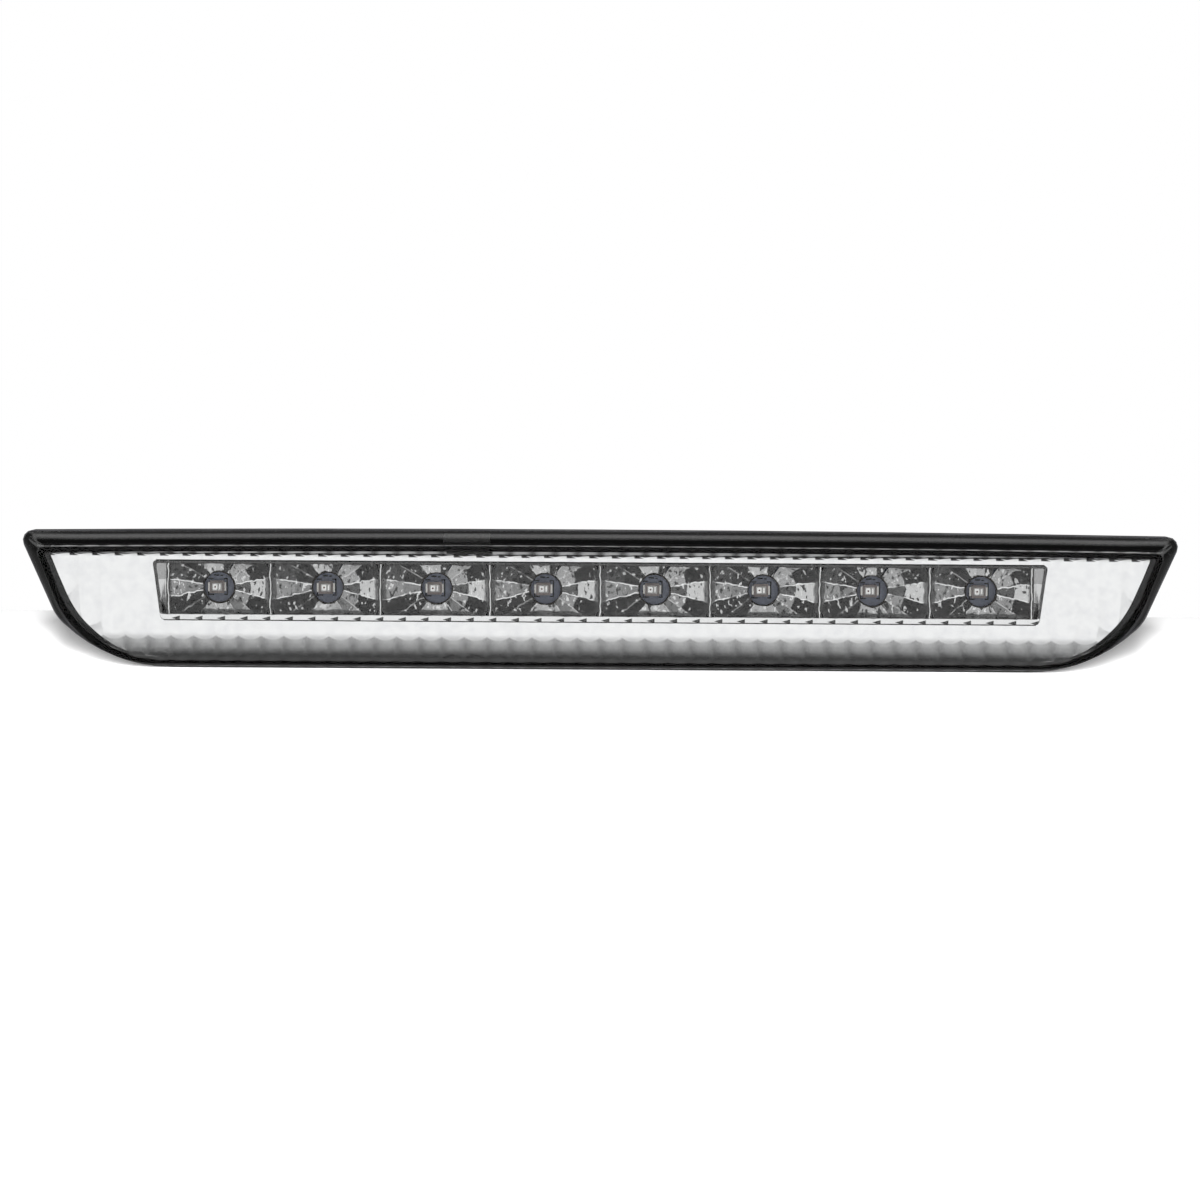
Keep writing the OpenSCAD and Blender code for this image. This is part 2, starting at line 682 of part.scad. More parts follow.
module connector_shell() {
    at = [plug_x, 0];
    color([0.13, 0.13, 0.14]) difference() {
        union() {
            round_block(at, plug_w + 2 * plug_flange, plug_h + 2 * plug_flange, 3,
                        plug_seat_y, plug_seat_y + plug_flange_t);
            round_block(at, plug_w, plug_h, 2, plug_seat_y, plug_mouth_y);
            round_block(at, plug_w - 2 * plug_throat, plug_h - 2 * plug_throat, 1.3,
                        inner_back_y - 0.6, plug_seat_y + 0.5);
            block(plug_x - 2.2, plug_x + 2.2, plug_mouth_y - 5, plug_mouth_y - 2.5, 0, plug_h / 2 + 1.2);
        }
        round_block(at, plug_w - 2 * plug_wall, plug_h - 2 * plug_wall, 1, plug_floor_y, plug_mouth_y + 1);
        for (x = PIN_X)
            block(x - pin_w / 2, x + pin_w / 2, inner_back_y - 3, plug_floor_y + 1, -pin_t / 2, pin_t / 2);
    }
}

module connector_pins() {
    color("silver") for (x = PIN_X)
        block(x - pin_w / 2, x + pin_w / 2, pin_tail_y, pin_tip_y, -pin_t / 2, pin_t / 2);
}

module connector_seal() {
    grow = plug_flange - 0.3;
    color("darkorange") difference() {
        round_block([plug_x, 0], plug_w + 2 * grow, plug_h + 2 * grow, 2.7, back_y, plug_seat_y);
        round_block([plug_x, 0], plug_w - 2 * plug_throat + 1, plug_h - 2 * plug_throat + 1, 1.6,
                    back_y - 1, plug_seat_y + 1);
    }
}

// Insulated lead from a pin's tail to its solder pad on the back of the board, with square ends
function pad_at(i) = [plug_x - pin_gap / 2 - pad_run + 3.5 * i, board_back_y + wire_r + 0.02, PAD_Z[i]];
function lead_path(i) =
    let (tail = [PIN_X[i], pin_tail_y, 0], pad = pad_at(i))
    concat([tail], bezier(tail + [0, -0.4, 0], tail + [0, -1.9, 0], pad + [6, 0, 0], pad + [0.5, 0, 0], 14), [pad]);

module positive_wire() {
    color("firebrick") swept(lead_path(0), wire_r, 8);
}

module negative_wire() {
    color([0.08, 0.08, 0.08]) swept(lead_path(1), wire_r, 8);
}

module solder_joints() {
    color("lightgray") for (i = [0, 1]) {
        end = pad_at(i);
        difference() {
            translate([end[0] - 0.3, board_back_y, end[2]]) rotate([-90, 0, 0])
                cylinder(r1 = 1.2, r2 = 0.7, h = 1.2);
            block(end[0], end[0] + 2, board_back_y - 1, board_back_y + 2, end[2] - 2, end[2] + 2);
        }
    }
}

// ---- vent -----------------------------------------------------------------------------------

module vent_cap() {
    color([0.1, 0.1, 0.1]) difference() {
        rod([vent_x, 0], vent_r + 1.4, back_y + 0.8, back_y + vent_h + 1.6);
        rod([vent_x, 0], vent_r, back_y, back_y + vent_h);
        for (a = [0, 90]) translate([vent_x, back_y + 0.8, 0]) rotate([0, a, 0])
            cube([2 * vent_r + 5, 1.6, 1], center = true);
    }
}

module vent_membrane() {
    color("white") rod([vent_x, 0], vent_bore_r + 1.6, inner_back_y - 0.3, inner_back_y);
}

lens();
lens_seal();
fluted_bezel();
cup_reflector();
led_board();
led_packages();
led_leads();
led_resin();
led_dies();
chip_resistors();
polarity_diode();
filter_capacitor();
board_screws();
reflector_screws();
housing();
housing_screws();
screw_seals();
rim_gasket();
mounting_studs();
stud_gaskets();
connector_shell();
connector_pins();
connector_seal();
positive_wire();
negative_wire();
solder_joints();
vent_cap();
vent_membrane();
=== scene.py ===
"""Third brake light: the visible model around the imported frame, with its floor, light and camera.

Lengths in the classes are millimetres, and the meshes are metres. +X runs along the lamp, +Z is up and
-Y is the way the light leaves, as in the frame.
"""

import logging
import math
from dataclasses import dataclass, field
from typing import Callable, Iterable, Sequence

import bmesh
import bpy
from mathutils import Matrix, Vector


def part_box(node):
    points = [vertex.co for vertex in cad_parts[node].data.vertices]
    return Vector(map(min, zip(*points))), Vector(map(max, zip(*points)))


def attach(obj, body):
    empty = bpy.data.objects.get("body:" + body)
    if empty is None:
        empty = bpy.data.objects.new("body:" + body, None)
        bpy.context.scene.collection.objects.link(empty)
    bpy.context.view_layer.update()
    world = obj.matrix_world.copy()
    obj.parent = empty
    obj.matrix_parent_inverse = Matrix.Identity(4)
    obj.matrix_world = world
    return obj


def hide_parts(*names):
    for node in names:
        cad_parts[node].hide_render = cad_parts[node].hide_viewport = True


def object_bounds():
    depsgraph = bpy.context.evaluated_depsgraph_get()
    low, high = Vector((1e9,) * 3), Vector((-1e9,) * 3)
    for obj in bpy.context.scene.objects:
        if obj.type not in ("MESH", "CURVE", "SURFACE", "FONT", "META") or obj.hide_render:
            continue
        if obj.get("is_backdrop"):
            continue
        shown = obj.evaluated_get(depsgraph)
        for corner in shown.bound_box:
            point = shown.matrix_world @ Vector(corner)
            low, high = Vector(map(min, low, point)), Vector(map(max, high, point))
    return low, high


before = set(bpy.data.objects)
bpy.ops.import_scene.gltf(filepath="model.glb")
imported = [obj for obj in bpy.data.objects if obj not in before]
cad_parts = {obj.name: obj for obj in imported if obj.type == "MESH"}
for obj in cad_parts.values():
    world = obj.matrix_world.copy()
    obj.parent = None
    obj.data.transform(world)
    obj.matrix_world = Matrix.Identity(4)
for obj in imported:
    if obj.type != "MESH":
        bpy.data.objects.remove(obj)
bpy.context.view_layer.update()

MM = 0.001
BODY = "root"
LOG = logging.getLogger("brake_light")

Point2 = tuple[float, float]
Colour = tuple[float, float, float]
Corner = tuple[float, float, float]


def node_box(node: str) -> tuple[Vector, Vector]:
    """Returns a CAD node's lowest and highest corners in millimetres.

    Args:
        node: The CAD node's name.
    """
    low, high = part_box(node)
    return low / MM, high / MM


# ---- outlines ----------------------------------------------------------------------------------


@dataclass(frozen=True)
class Outline:
    """A symmetric outline in the X-Z plane, given by its right half's corners from bottom to top.

    Attributes:
        corners: (x, z, radius) of each corner of the right half.
        arch: Rise of the top edge at the middle.
        steps: Segments in a large corner.
    """

    corners: tuple[Corner, ...]
    arch: float = 0.0
    steps: int = 20

    def whole(self) -> list[Corner]:
        """Returns the corners of both halves, anticlockwise, with the arched top between them."""
        top = self.corners[-1]
        spans = 24
        arched = [
            (top[0] * t, top[1] + self.arch * (1 - t * t), 0.0)
            for t in (1 - 2 * i / spans for i in range(1, spans))
        ]
        return [*self.corners, *arched, *((-x, z, r) for x, z, r in reversed(self.corners))]

    def inset(self, distance: float) -> list[Point2]:
        """Returns the rounded outline moved inwards.

        Args:
            distance: How far inwards, or outwards when it is negative.

        Returns:
            Points, anticlockwise, as many for every distance.
        """
        ring = self.whole()
        count = len(ring)
        moved: list[Corner] = []
        for i, (x, z, r) in enumerate(ring):
            before, after = Vector(ring[i - 1][:2]), Vector(ring[(i + 1) % count][:2])
            here = Vector((x, z))
            u, w = (before - here).normalized(), (after - here).normalized()
            half = math.acos(max(-1.0, min(1.0, u.dot(w)))) / 2
            side = after - here
            inward = u + w if half < math.radians(89.99) else Vector((-side.y, side.x))
            q = here + inward.normalized() * distance / math.sin(half)
            moved.append((q.x, q.y, max(r - distance, 0.4) if r > 0 else 0.0))
        points: list[Point2] = []
        for i, (x, z, r) in enumerate(moved):
            if r <= 0:
                points.append((x, z))
                continue
            before, after = Vector(moved[i - 1][:2]), Vector(moved[(i + 1) % count][:2])
            here = Vector((x, z))
            u, w = (before - here).normalized(), (after - here).normalized()
            half = math.acos(u.dot(w)) / 2
            centre = here + (u + w).normalized() * r / math.sin(half)
            first = here + u * r / math.tan(half) - centre
            start, turn = math.atan2(first.y, first.x), math.pi - 2 * half
            steps = self.steps if r > 5 else 6
            points += [
                (centre.x + r * math.cos(start + turn * k / steps), centre.y + r * math.sin(start + turn * k / steps))
                for k in range(steps + 1)
            ]
        return points

    def half_width(self, z: float) -> float:
        """Returns the outline's half width at a height, or zero outside it."""
        ring = self.inset(0.0)
        reach = 0.0
        for (x0, z0), (x1, z1) in zip(ring, ring[1:] + ring[:1]):
            if min(z0, z1) <= z <= max(z0, z1) and z0 != z1:
                reach = max(reach, x0 + (x1 - x0) * (z - z0) / (z1 - z0))
        return reach


# ---- mesh tools --------------------------------------------------------------------------------


def clear_selection() -> None:
    """Leaves edit mode and deselects everything, so that an operator meets only what it is given."""
    if bpy.context.mode != "OBJECT":
        bpy.ops.object.mode_set(mode="OBJECT")
    bpy.ops.object.select_all(action="DESELECT")


def hold(piece: bpy.types.Object) -> bpy.types.Object:
    """Makes a piece the only selected and the active object."""
    clear_selection()
    piece.select_set(True)
    bpy.context.view_layer.objects.active = piece
    return piece


def named(name: str) -> bpy.types.Object:
    """Names the object that an operator has just added."""
    piece = bpy.context.view_layer.objects.active
    piece.name = piece.data.name = name
    return piece


def settle(piece: bpy.types.Object) -> bpy.types.Object:
    """Applies a piece's place, turn and size to its mesh."""
    hold(piece)
    bpy.ops.object.transform_apply(location=True, rotation=True, scale=True)
    return piece


def join(pieces: Sequence[bpy.types.Object], name: str) -> bpy.types.Object:
    """Joins pieces into one object.

    Args:
        pieces: What to join, the first of which stays.
        name: The name of the joined piece.

    Returns:
        The joined piece.
    """
    clear_selection()
    for piece in pieces:
        piece.select_set(True)
    bpy.context.view_layer.objects.active = pieces[0]
    if len(pieces) > 1:
        bpy.ops.object.join()
    return named(name)


def apply_modifier(piece: bpy.types.Object, kind: str, **settings: object) -> bpy.types.Object:
    """Adds a modifier with the given settings and applies it.

    Args:
        piece: The piece to change.
        kind: The modifier's type.
        **settings: Values for the modifier's properties.

    Returns:
        The same piece.
    """
    hold(piece)
    modifier = piece.modifiers.new(kind.title(), kind)
    for key, value in settings.items():
        setattr(modifier, key, value)
    bpy.ops.object.modifier_apply(modifier=modifier.name)
    return piece


def clean(piece: bpy.types.Object, distance: float = 0.002, outwards: bool = True) -> bpy.types.Object:
    """Merges doubled points and, if asked, turns every face outwards.

    Args:
        piece: The piece to clean.
        distance: Points nearer than this, in millimetres, are merged.
        outwards: Whether the normals are worked out again.

    Returns:
        The same piece.
    """
    hold(piece)
    bpy.ops.object.mode_set(mode="EDIT")
    bpy.ops.mesh.select_all(action="SELECT")
    bpy.ops.mesh.remove_doubles(threshold=distance * MM)
    bpy.ops.mesh.dissolve_degenerate(threshold=distance * MM / 4)
    if outwards:
        bpy.ops.mesh.select_all(action="SELECT")
        bpy.ops.mesh.normals_make_consistent(inside=False)
    bpy.ops.object.mode_set(mode="OBJECT")
    return piece


def smooth(piece: bpy.types.Object, degrees: float = 30.0) -> bpy.types.Object:
    """Shades a piece smooth, apart from edges sharper than an angle."""
    hold(piece)
    bpy.ops.object.shade_smooth_by_angle(angle=math.radians(degrees))
    return piece


def soften(piece: bpy.types.Object, width: float, segments: int = 2, degrees: float = 35.0) -> bpy.types.Object:
    """Bevels every edge sharper than an angle.

    Args:
        piece: The piece to bevel.
        width: The bevel's width in millimetres.
        segments: Faces across the bevel.
        degrees: The least angle of an edge that is bevelled.

    Returns:
        The same piece.
    """
    return apply_modifier(
        piece, "BEVEL", width=width * MM, segments=segments, limit_method="ANGLE",
        angle_limit=math.radians(degrees), use_clamp_overlap=True,
    )


def block(low: Sequence[float], high: Sequence[float], name: str = "block") -> bpy.types.Object:
    """Adds a box between two corners given in millimetres."""
    clear_selection()
    centre = [(a + b) / 2 * MM for a, b in zip(low, high)]
    bpy.ops.mesh.primitive_cube_add(size=1, location=centre)
    piece = named(name)
    piece.scale = [(b - a) * MM for a, b in zip(low, high)]
    return settle(piece)


def rod(at: Point2, radius: float, y0: float, y1: float, sides: int = 48, name: str = "rod") -> bpy.types.Object:
    """Adds a cylinder along Y.

    Args:
        at: Its axis in X and Z.
        radius: Its radius.
        y0: Its lower end.
        y1: Its upper end.
        sides: Faces round it.
        name: Its name.

    Returns:
        The cylinder.
    """
    clear_selection()
    bpy.ops.mesh.primitive_cylinder_add(
        vertices=sides, radius=radius * MM, depth=(y1 - y0) * MM,
        location=(at[0] * MM, (y0 + y1) / 2 * MM, at[1] * MM), rotation=(math.pi / 2, 0, 0),
    )
    return settle(named(name))


class Loft:
    """A skin raised ring by ring from a first chain of points, as when edges are extruded by hand."""

    def __init__(self, name: str, ring: Sequence[Sequence[float]], closed: bool = True) -> None:
        """Adds the first ring.

        Args:
            name: The piece's name.
            ring: Points in millimetres.
            closed: Whether the last point joins the first.
        """
        clear_selection()
        bpy.ops.mesh.primitive_circle_add(vertices=len(ring), radius=1.0, fill_type="NOTHING")
        self.piece = named(name)
        self.last = [Vector(p) * MM for p in ring]
        for vertex, place in zip(self.piece.data.vertices, self.last):
            vertex.co = place
        bpy.ops.object.mode_set(mode="EDIT")
        bpy.context.tool_settings.mesh_select_mode = (True, False, False)
        if not closed:
            mesh = bmesh.from_edit_mesh(self.piece.data)
            mesh.verts.ensure_lookup_table()
            ends = {mesh.verts[0], mesh.verts[len(ring) - 1]}
            bmesh.ops.delete(mesh, geom=[e for e in mesh.edges if set(e.verts) == ends], context="EDGES")
            bmesh.update_edit_mesh(self.piece.data)
        bpy.ops.mesh.select_all(action="SELECT")

    def cap(self) -> "Loft":
        """Fills the ring that is selected with one face and leaves it selected."""
        bpy.ops.mesh.edge_face_add()
        bpy.context.tool_settings.mesh_select_mode = (True, False, False)
        return self

    def reach(self, ring: Sequence[Sequence[float]]) -> "Loft":
        """Extrudes the selected edges and moves the new ones on to the next ring.

        Args:
            ring: As many points in millimetres as the ring before, in the same order.

        Returns:
            The loft, so that calls can follow each other.
        """
        bpy.ops.mesh.extrude_edges_move()
        mesh = bmesh.from_edit_mesh(self.piece.data)
        index = {self._key(p): i for i, p in enumerate(self.last)}
        following = [Vector(p) * MM for p in ring]
        for vertex in (v for v in mesh.verts if v.select):
            vertex.co = following[index[self._key(vertex.co)]]
        bmesh.update_edit_mesh(self.piece.data)
        self.last = following
        return self

    def done(self) -> bpy.types.Object:
        """Leaves edit mode and returns the piece."""
        bpy.ops.object.mode_set(mode="OBJECT")
        return self.piece

    @staticmethod
    def _key(place: Vector) -> tuple[int, int, int]:
        """Returns a place rounded to a ten-thousandth of a millimetre."""
        return tuple(round(c * 1e7) for c in place)


def level(points: Iterable[Point2], y: float) -> list[tuple[float, float, float]]:
    """Returns an outline's points at a depth."""
    return [(x, y, z) for x, z in points]


def prism(points: Sequence[Point2], y0: float, y1: float, name: str = "prism") -> bpy.types.Object:
    """Adds a solid of one outline between two depths.

    Args:
        points: The outline, anticlockwise in X and Z.
        y0: The depth of its front.
        y1: The depth of its back.
        name: Its name.

    Returns:
        The solid, with its faces outwards.
    """
    loft = Loft(name, level(points, y0)).cap()
    bpy.ops.mesh.select_all(action="SELECT")
    loft.reach(level(points, y1)).cap()
    return clean(loft.done())


def carve(piece: bpy.types.Object, tool: bpy.types.Object, operation: str = "DIFFERENCE") -> bpy.types.Object:
    """Cuts a piece with a tool, which is then thrown away."""
    apply_modifier(piece, "BOOLEAN", operation=operation, object=tool, solver="EXACT")
    bpy.data.objects.remove(tool, do_unlink=True)
    return piece


# ---- finishes ----------------------------------------------------------------------------------


class Graph:
    """A material's node tree, with short calls for the nodes that the finishes share."""

    def __init__(self, name: str) -> None:
        """Starts a material with one Principled shader and object coordinates."""
        self.material = bpy.data.materials.new(name)
        self.material.use_nodes = True
        self.tree = self.material.node_tree
        self.shader = self.tree.nodes["Principled BSDF"]
        self.place = self.tree.nodes.new("ShaderNodeTexCoord").outputs["Object"]

    def node(self, kind: str, inputs: dict[str | int, object] | None = None, **settings: object) -> bpy.types.Node:
        """Adds a node.

        Args:
            kind: The node's type, without its ShaderNode prefix.
            inputs: A value or a socket for each input.
            **settings: Values for the node's properties.

        Returns:
            The node.
        """
        made = self.tree.nodes.new("ShaderNode" + kind)
        for key, value in settings.items():
            setattr(made, key, value)
        for key, value in (inputs or {}).items():
            if isinstance(value, bpy.types.NodeSocket):
                self.tree.links.new(value, made.inputs[key])
            else:
                made.inputs[key].default_value = value
        return made

    def math(self, operation: str, *values: object, clamp: bool = False) -> bpy.types.NodeSocket:
        """Returns the output of a Math node."""
        return self.node("Math", dict(enumerate(values)), operation=operation, use_clamp=clamp).outputs[0]

    def noise(self, per_mm: float, detail: float = 3.0, stretch: Colour = (1, 1, 1)) -> bpy.types.NodeSocket:
        """Returns a noise pattern's value.

        Args:
            per_mm: Cells to a millimetre.
            detail: Octaves.
            stretch: Scale along each axis.
        """
        spread = self.node("Mapping", {"Vector": self.place, "Scale": stretch})
        return self.node(
            "TexNoise", {"Vector": spread.outputs[0], "Scale": per_mm / MM, "Detail": detail}
        ).outputs["Fac"]

    def span(self, value: object, low: float, high: float, to_low: float, to_high: float) -> bpy.types.NodeSocket:
        """Returns a value carried from one range to another and held inside it."""
        return self.node(
            "MapRange", {0: value, 1: low, 2: high, 3: to_low, 4: to_high}
        ).outputs[0]

    def mix(self, share: object, first: object, second: object) -> bpy.types.NodeSocket:
        """Returns a mix of two colours."""
        made = self.node("Mix", data_type="RGBA")
        for socket, value in ((made.inputs[0], share), (made.inputs[6], first), (made.inputs[7], second)):
            if isinstance(value, bpy.types.NodeSocket):
                self.tree.links.new(value, socket)
            else:
                socket.default_value = (*value, 1.0) if isinstance(value, tuple) else value
        return made.outputs[2]

    def feed(self, name: str, value: object) -> None:
        """Sets or links one of the shader's inputs."""
        socket = self.shader.inputs[name]
        if isinstance(value, bpy.types.NodeSocket):
            self.tree.links.new(value, socket)
        else:
            socket.default_value = (*value, 1.0) if isinstance(value, tuple) else value

    def bump(self, height: object, depth: float) -> None:
        """Feeds a height, with its depth in millimetres, to the shader's normal."""
        made = self.node("Bump", {"Height": height, "Distance": depth * MM, "Strength": 1.0})
        self.feed("Normal", made.outputs[0])


@dataclass(frozen=True)
class Finish:
    """A moulded, plated or painted surface with a fine grain.

    Attributes:
        name: The material's name.
        colour: Main colour.
        shade: Colour that the main one wanders towards.
        metallic: Share of metal.
        roughness: Lowest and highest roughness.
        grain: Grain cells to a millimetre.
        depth: Depth of the grain in millimetres.
        stretch: Scale of the grain along each axis.
        blotch: Large blotches to a millimetre, for the wandering colour.
    """

    name: str
    colour: Colour
    shade: Colour
    metallic: float = 0.0
    roughness: Point2 = (0.35, 0.5)
    grain: float = 4.0
    depth: float = 0.01
    stretch: Colour = (1.0, 1.0, 1.0)
    blotch: float = 0.15

    def material(self) -> bpy.types.Material:
        """Returns the finish as a material."""
        graph = Graph(self.name)
        graph.feed("Metallic", self.metallic)
        fine = graph.noise(self.grain, 4.0, self.stretch)
        broad = graph.noise(self.blotch, 3.0)
        graph.feed("Base Color", graph.mix(graph.span(broad, 0.35, 0.65, 0.0, 1.0), self.colour, self.shade))
        graph.feed("Roughness", graph.span(fine, 0.3, 0.7, *self.roughness))
        graph.bump(fine, self.depth)
        return graph.material


@dataclass(frozen=True)
class ClearPlastic:
    """Polished transparent plastic.

    Attributes:
        name: The material's name.
        tint: Colour of light that passes.
        gleam: Strength of its reflections, from 0 to 1.
    """

    name: str = "clear_cover"
    tint: Colour = (0.985, 0.99, 0.99)
    gleam: float = 0.2

    def material(self) -> bpy.types.Material:
        """Returns the plastic as a material."""
        graph = Graph(self.name)
        graph.feed("Base Color", self.tint)
        graph.feed("Transmission Weight", 1.0)
        graph.feed("IOR", 1.58)
        graph.feed("Specular Tint", (self.gleam,) * 3)
        ripple = graph.noise(0.05, 2.0)
        graph.feed("Roughness", graph.span(ripple, 0.3, 0.7, 0.0, 0.02))
        graph.bump(ripple, 0.02)
        return graph.material


@dataclass(frozen=True)
class Plating:
    """Vacuum-metallised plastic: a bright mirror whose surface isn't quite true.

    Attributes:
        name: The material's name.
        bright: Colour where the plating is clean.
        dull: Colour where it is thin.
        roughness: Lowest and highest roughness.
        waver: Waves to a millimetre.
        depth: Depth of the waves in millimetres.
        flute_pitch: Spacing of the flutes, which get a painted slanting shadow at each flute's head and painted shade
            where they sweep forward, or zero for none.
    """

    name: str
    bright: Colour
    dull: Colour
    roughness: Point2
    waver: float
    depth: float
    flute_pitch: float = 0.0

    def material(self) -> bpy.types.Material:
        """Returns the plating as a material."""
        graph = Graph(self.name)
        graph.feed("Metallic", 1.0)
        wave = graph.noise(self.waver, 1.5)
        tone = graph.mix(graph.span(graph.noise(0.4, 4.0), 0.4, 0.75, 0.0, 1.0), self.bright, self.dull)
        if self.flute_pitch:
            # Painted shadow at the head of each flute.
            tone = graph.mix(self._painted_flute_head_shadows(graph), tone, (0.05, 0.05, 0.05))
            # Painted shade where the flutes sweep forward.
            tone = graph.mix(self._painted_sweep_shade(graph), tone, (0.0, 0.0, 0.0))
        graph.feed("Base Color", tone)
        graph.feed("Roughness", graph.span(wave, 0.3, 0.7, *self.roughness))
        graph.bump(wave, self.depth)
        return graph.material

    @staticmethod
    def _millimetres(graph: Graph) -> bpy.types.Node:
        """Returns a Separate XYZ node of the place in millimetres."""
        return graph.node("SeparateXYZ", {0: graph.node("Mapping", {"Vector": graph.place, "Scale": (1 / MM,) * 3})
                                          .outputs[0]})

    def _painted_flute_head_shadows(self, graph: Graph) -> bpy.types.NodeSocket:
        """Returns where the slanting shadow at the head of each flute lies."""
        slant, shallow, deep, spread_share = -1.4, 0.1, 0.95, 0.22
        split = self._millimetres(graph)
        head = node_box("fluted_bezel")[1].z
        drop = graph.math("SUBTRACT", head, split.outputs[2])
        slid = graph.math("MULTIPLY_ADD", drop, slant, split.outputs[0])
        along = graph.math("FRACT", graph.math("DIVIDE", slid, self.flute_pitch))
        near = graph.math("MULTIPLY", graph.math("LESS_THAN", drop, deep), graph.math("GREATER_THAN", drop, shallow))
        return graph.math("MULTIPLY", near, graph.math("LESS_THAN", graph.math(
            "ABSOLUTE", graph.math("SUBTRACT", along, 0.5)), graph.math("MULTIPLY", drop, spread_share)))

    def _painted_sweep_shade(self, graph: Graph) -> bpy.types.NodeSocket:
        """Returns the painted shade where the flutes sweep forward: dark hanging arcs, and rounded painted shades below
        them.
        """
        sweep_head, arc_low, arc_rise = 7.6, 3.2, 4.0
        shade_low, shade_side, shade_squash = 5.2, 0.06, 0.85
        split = self._millimetres(graph)
        down = graph.math("SUBTRACT", node_box("fluted_bezel")[0].z + sweep_head, split.outputs[2])
        share = graph.math("FRACT", graph.math("DIVIDE", split.outputs[0], self.flute_pitch))
        turn = graph.math("SUBTRACT", share, 0.5)
        arc = graph.math("MULTIPLY_ADD", graph.math("MULTIPLY", turn, turn), -arc_rise, arc_low)
        below = graph.span(graph.math("SUBTRACT", down, arc), -0.12, 0.3, 0.0, 1.0)
        wide = graph.math("MULTIPLY", graph.math("SUBTRACT", turn, shade_side), self.flute_pitch)
        tall = graph.math("MULTIPLY", graph.math("SUBTRACT", down, shade_low), shade_squash)
        reach = graph.math("SQRT", graph.math("ADD", graph.math("MULTIPLY", wide, wide),
                                              graph.math("MULTIPLY", tall, tall)))
        return graph.math("MULTIPLY", below, graph.span(reach, 1.1, 2.8, 0.04, 0.40))


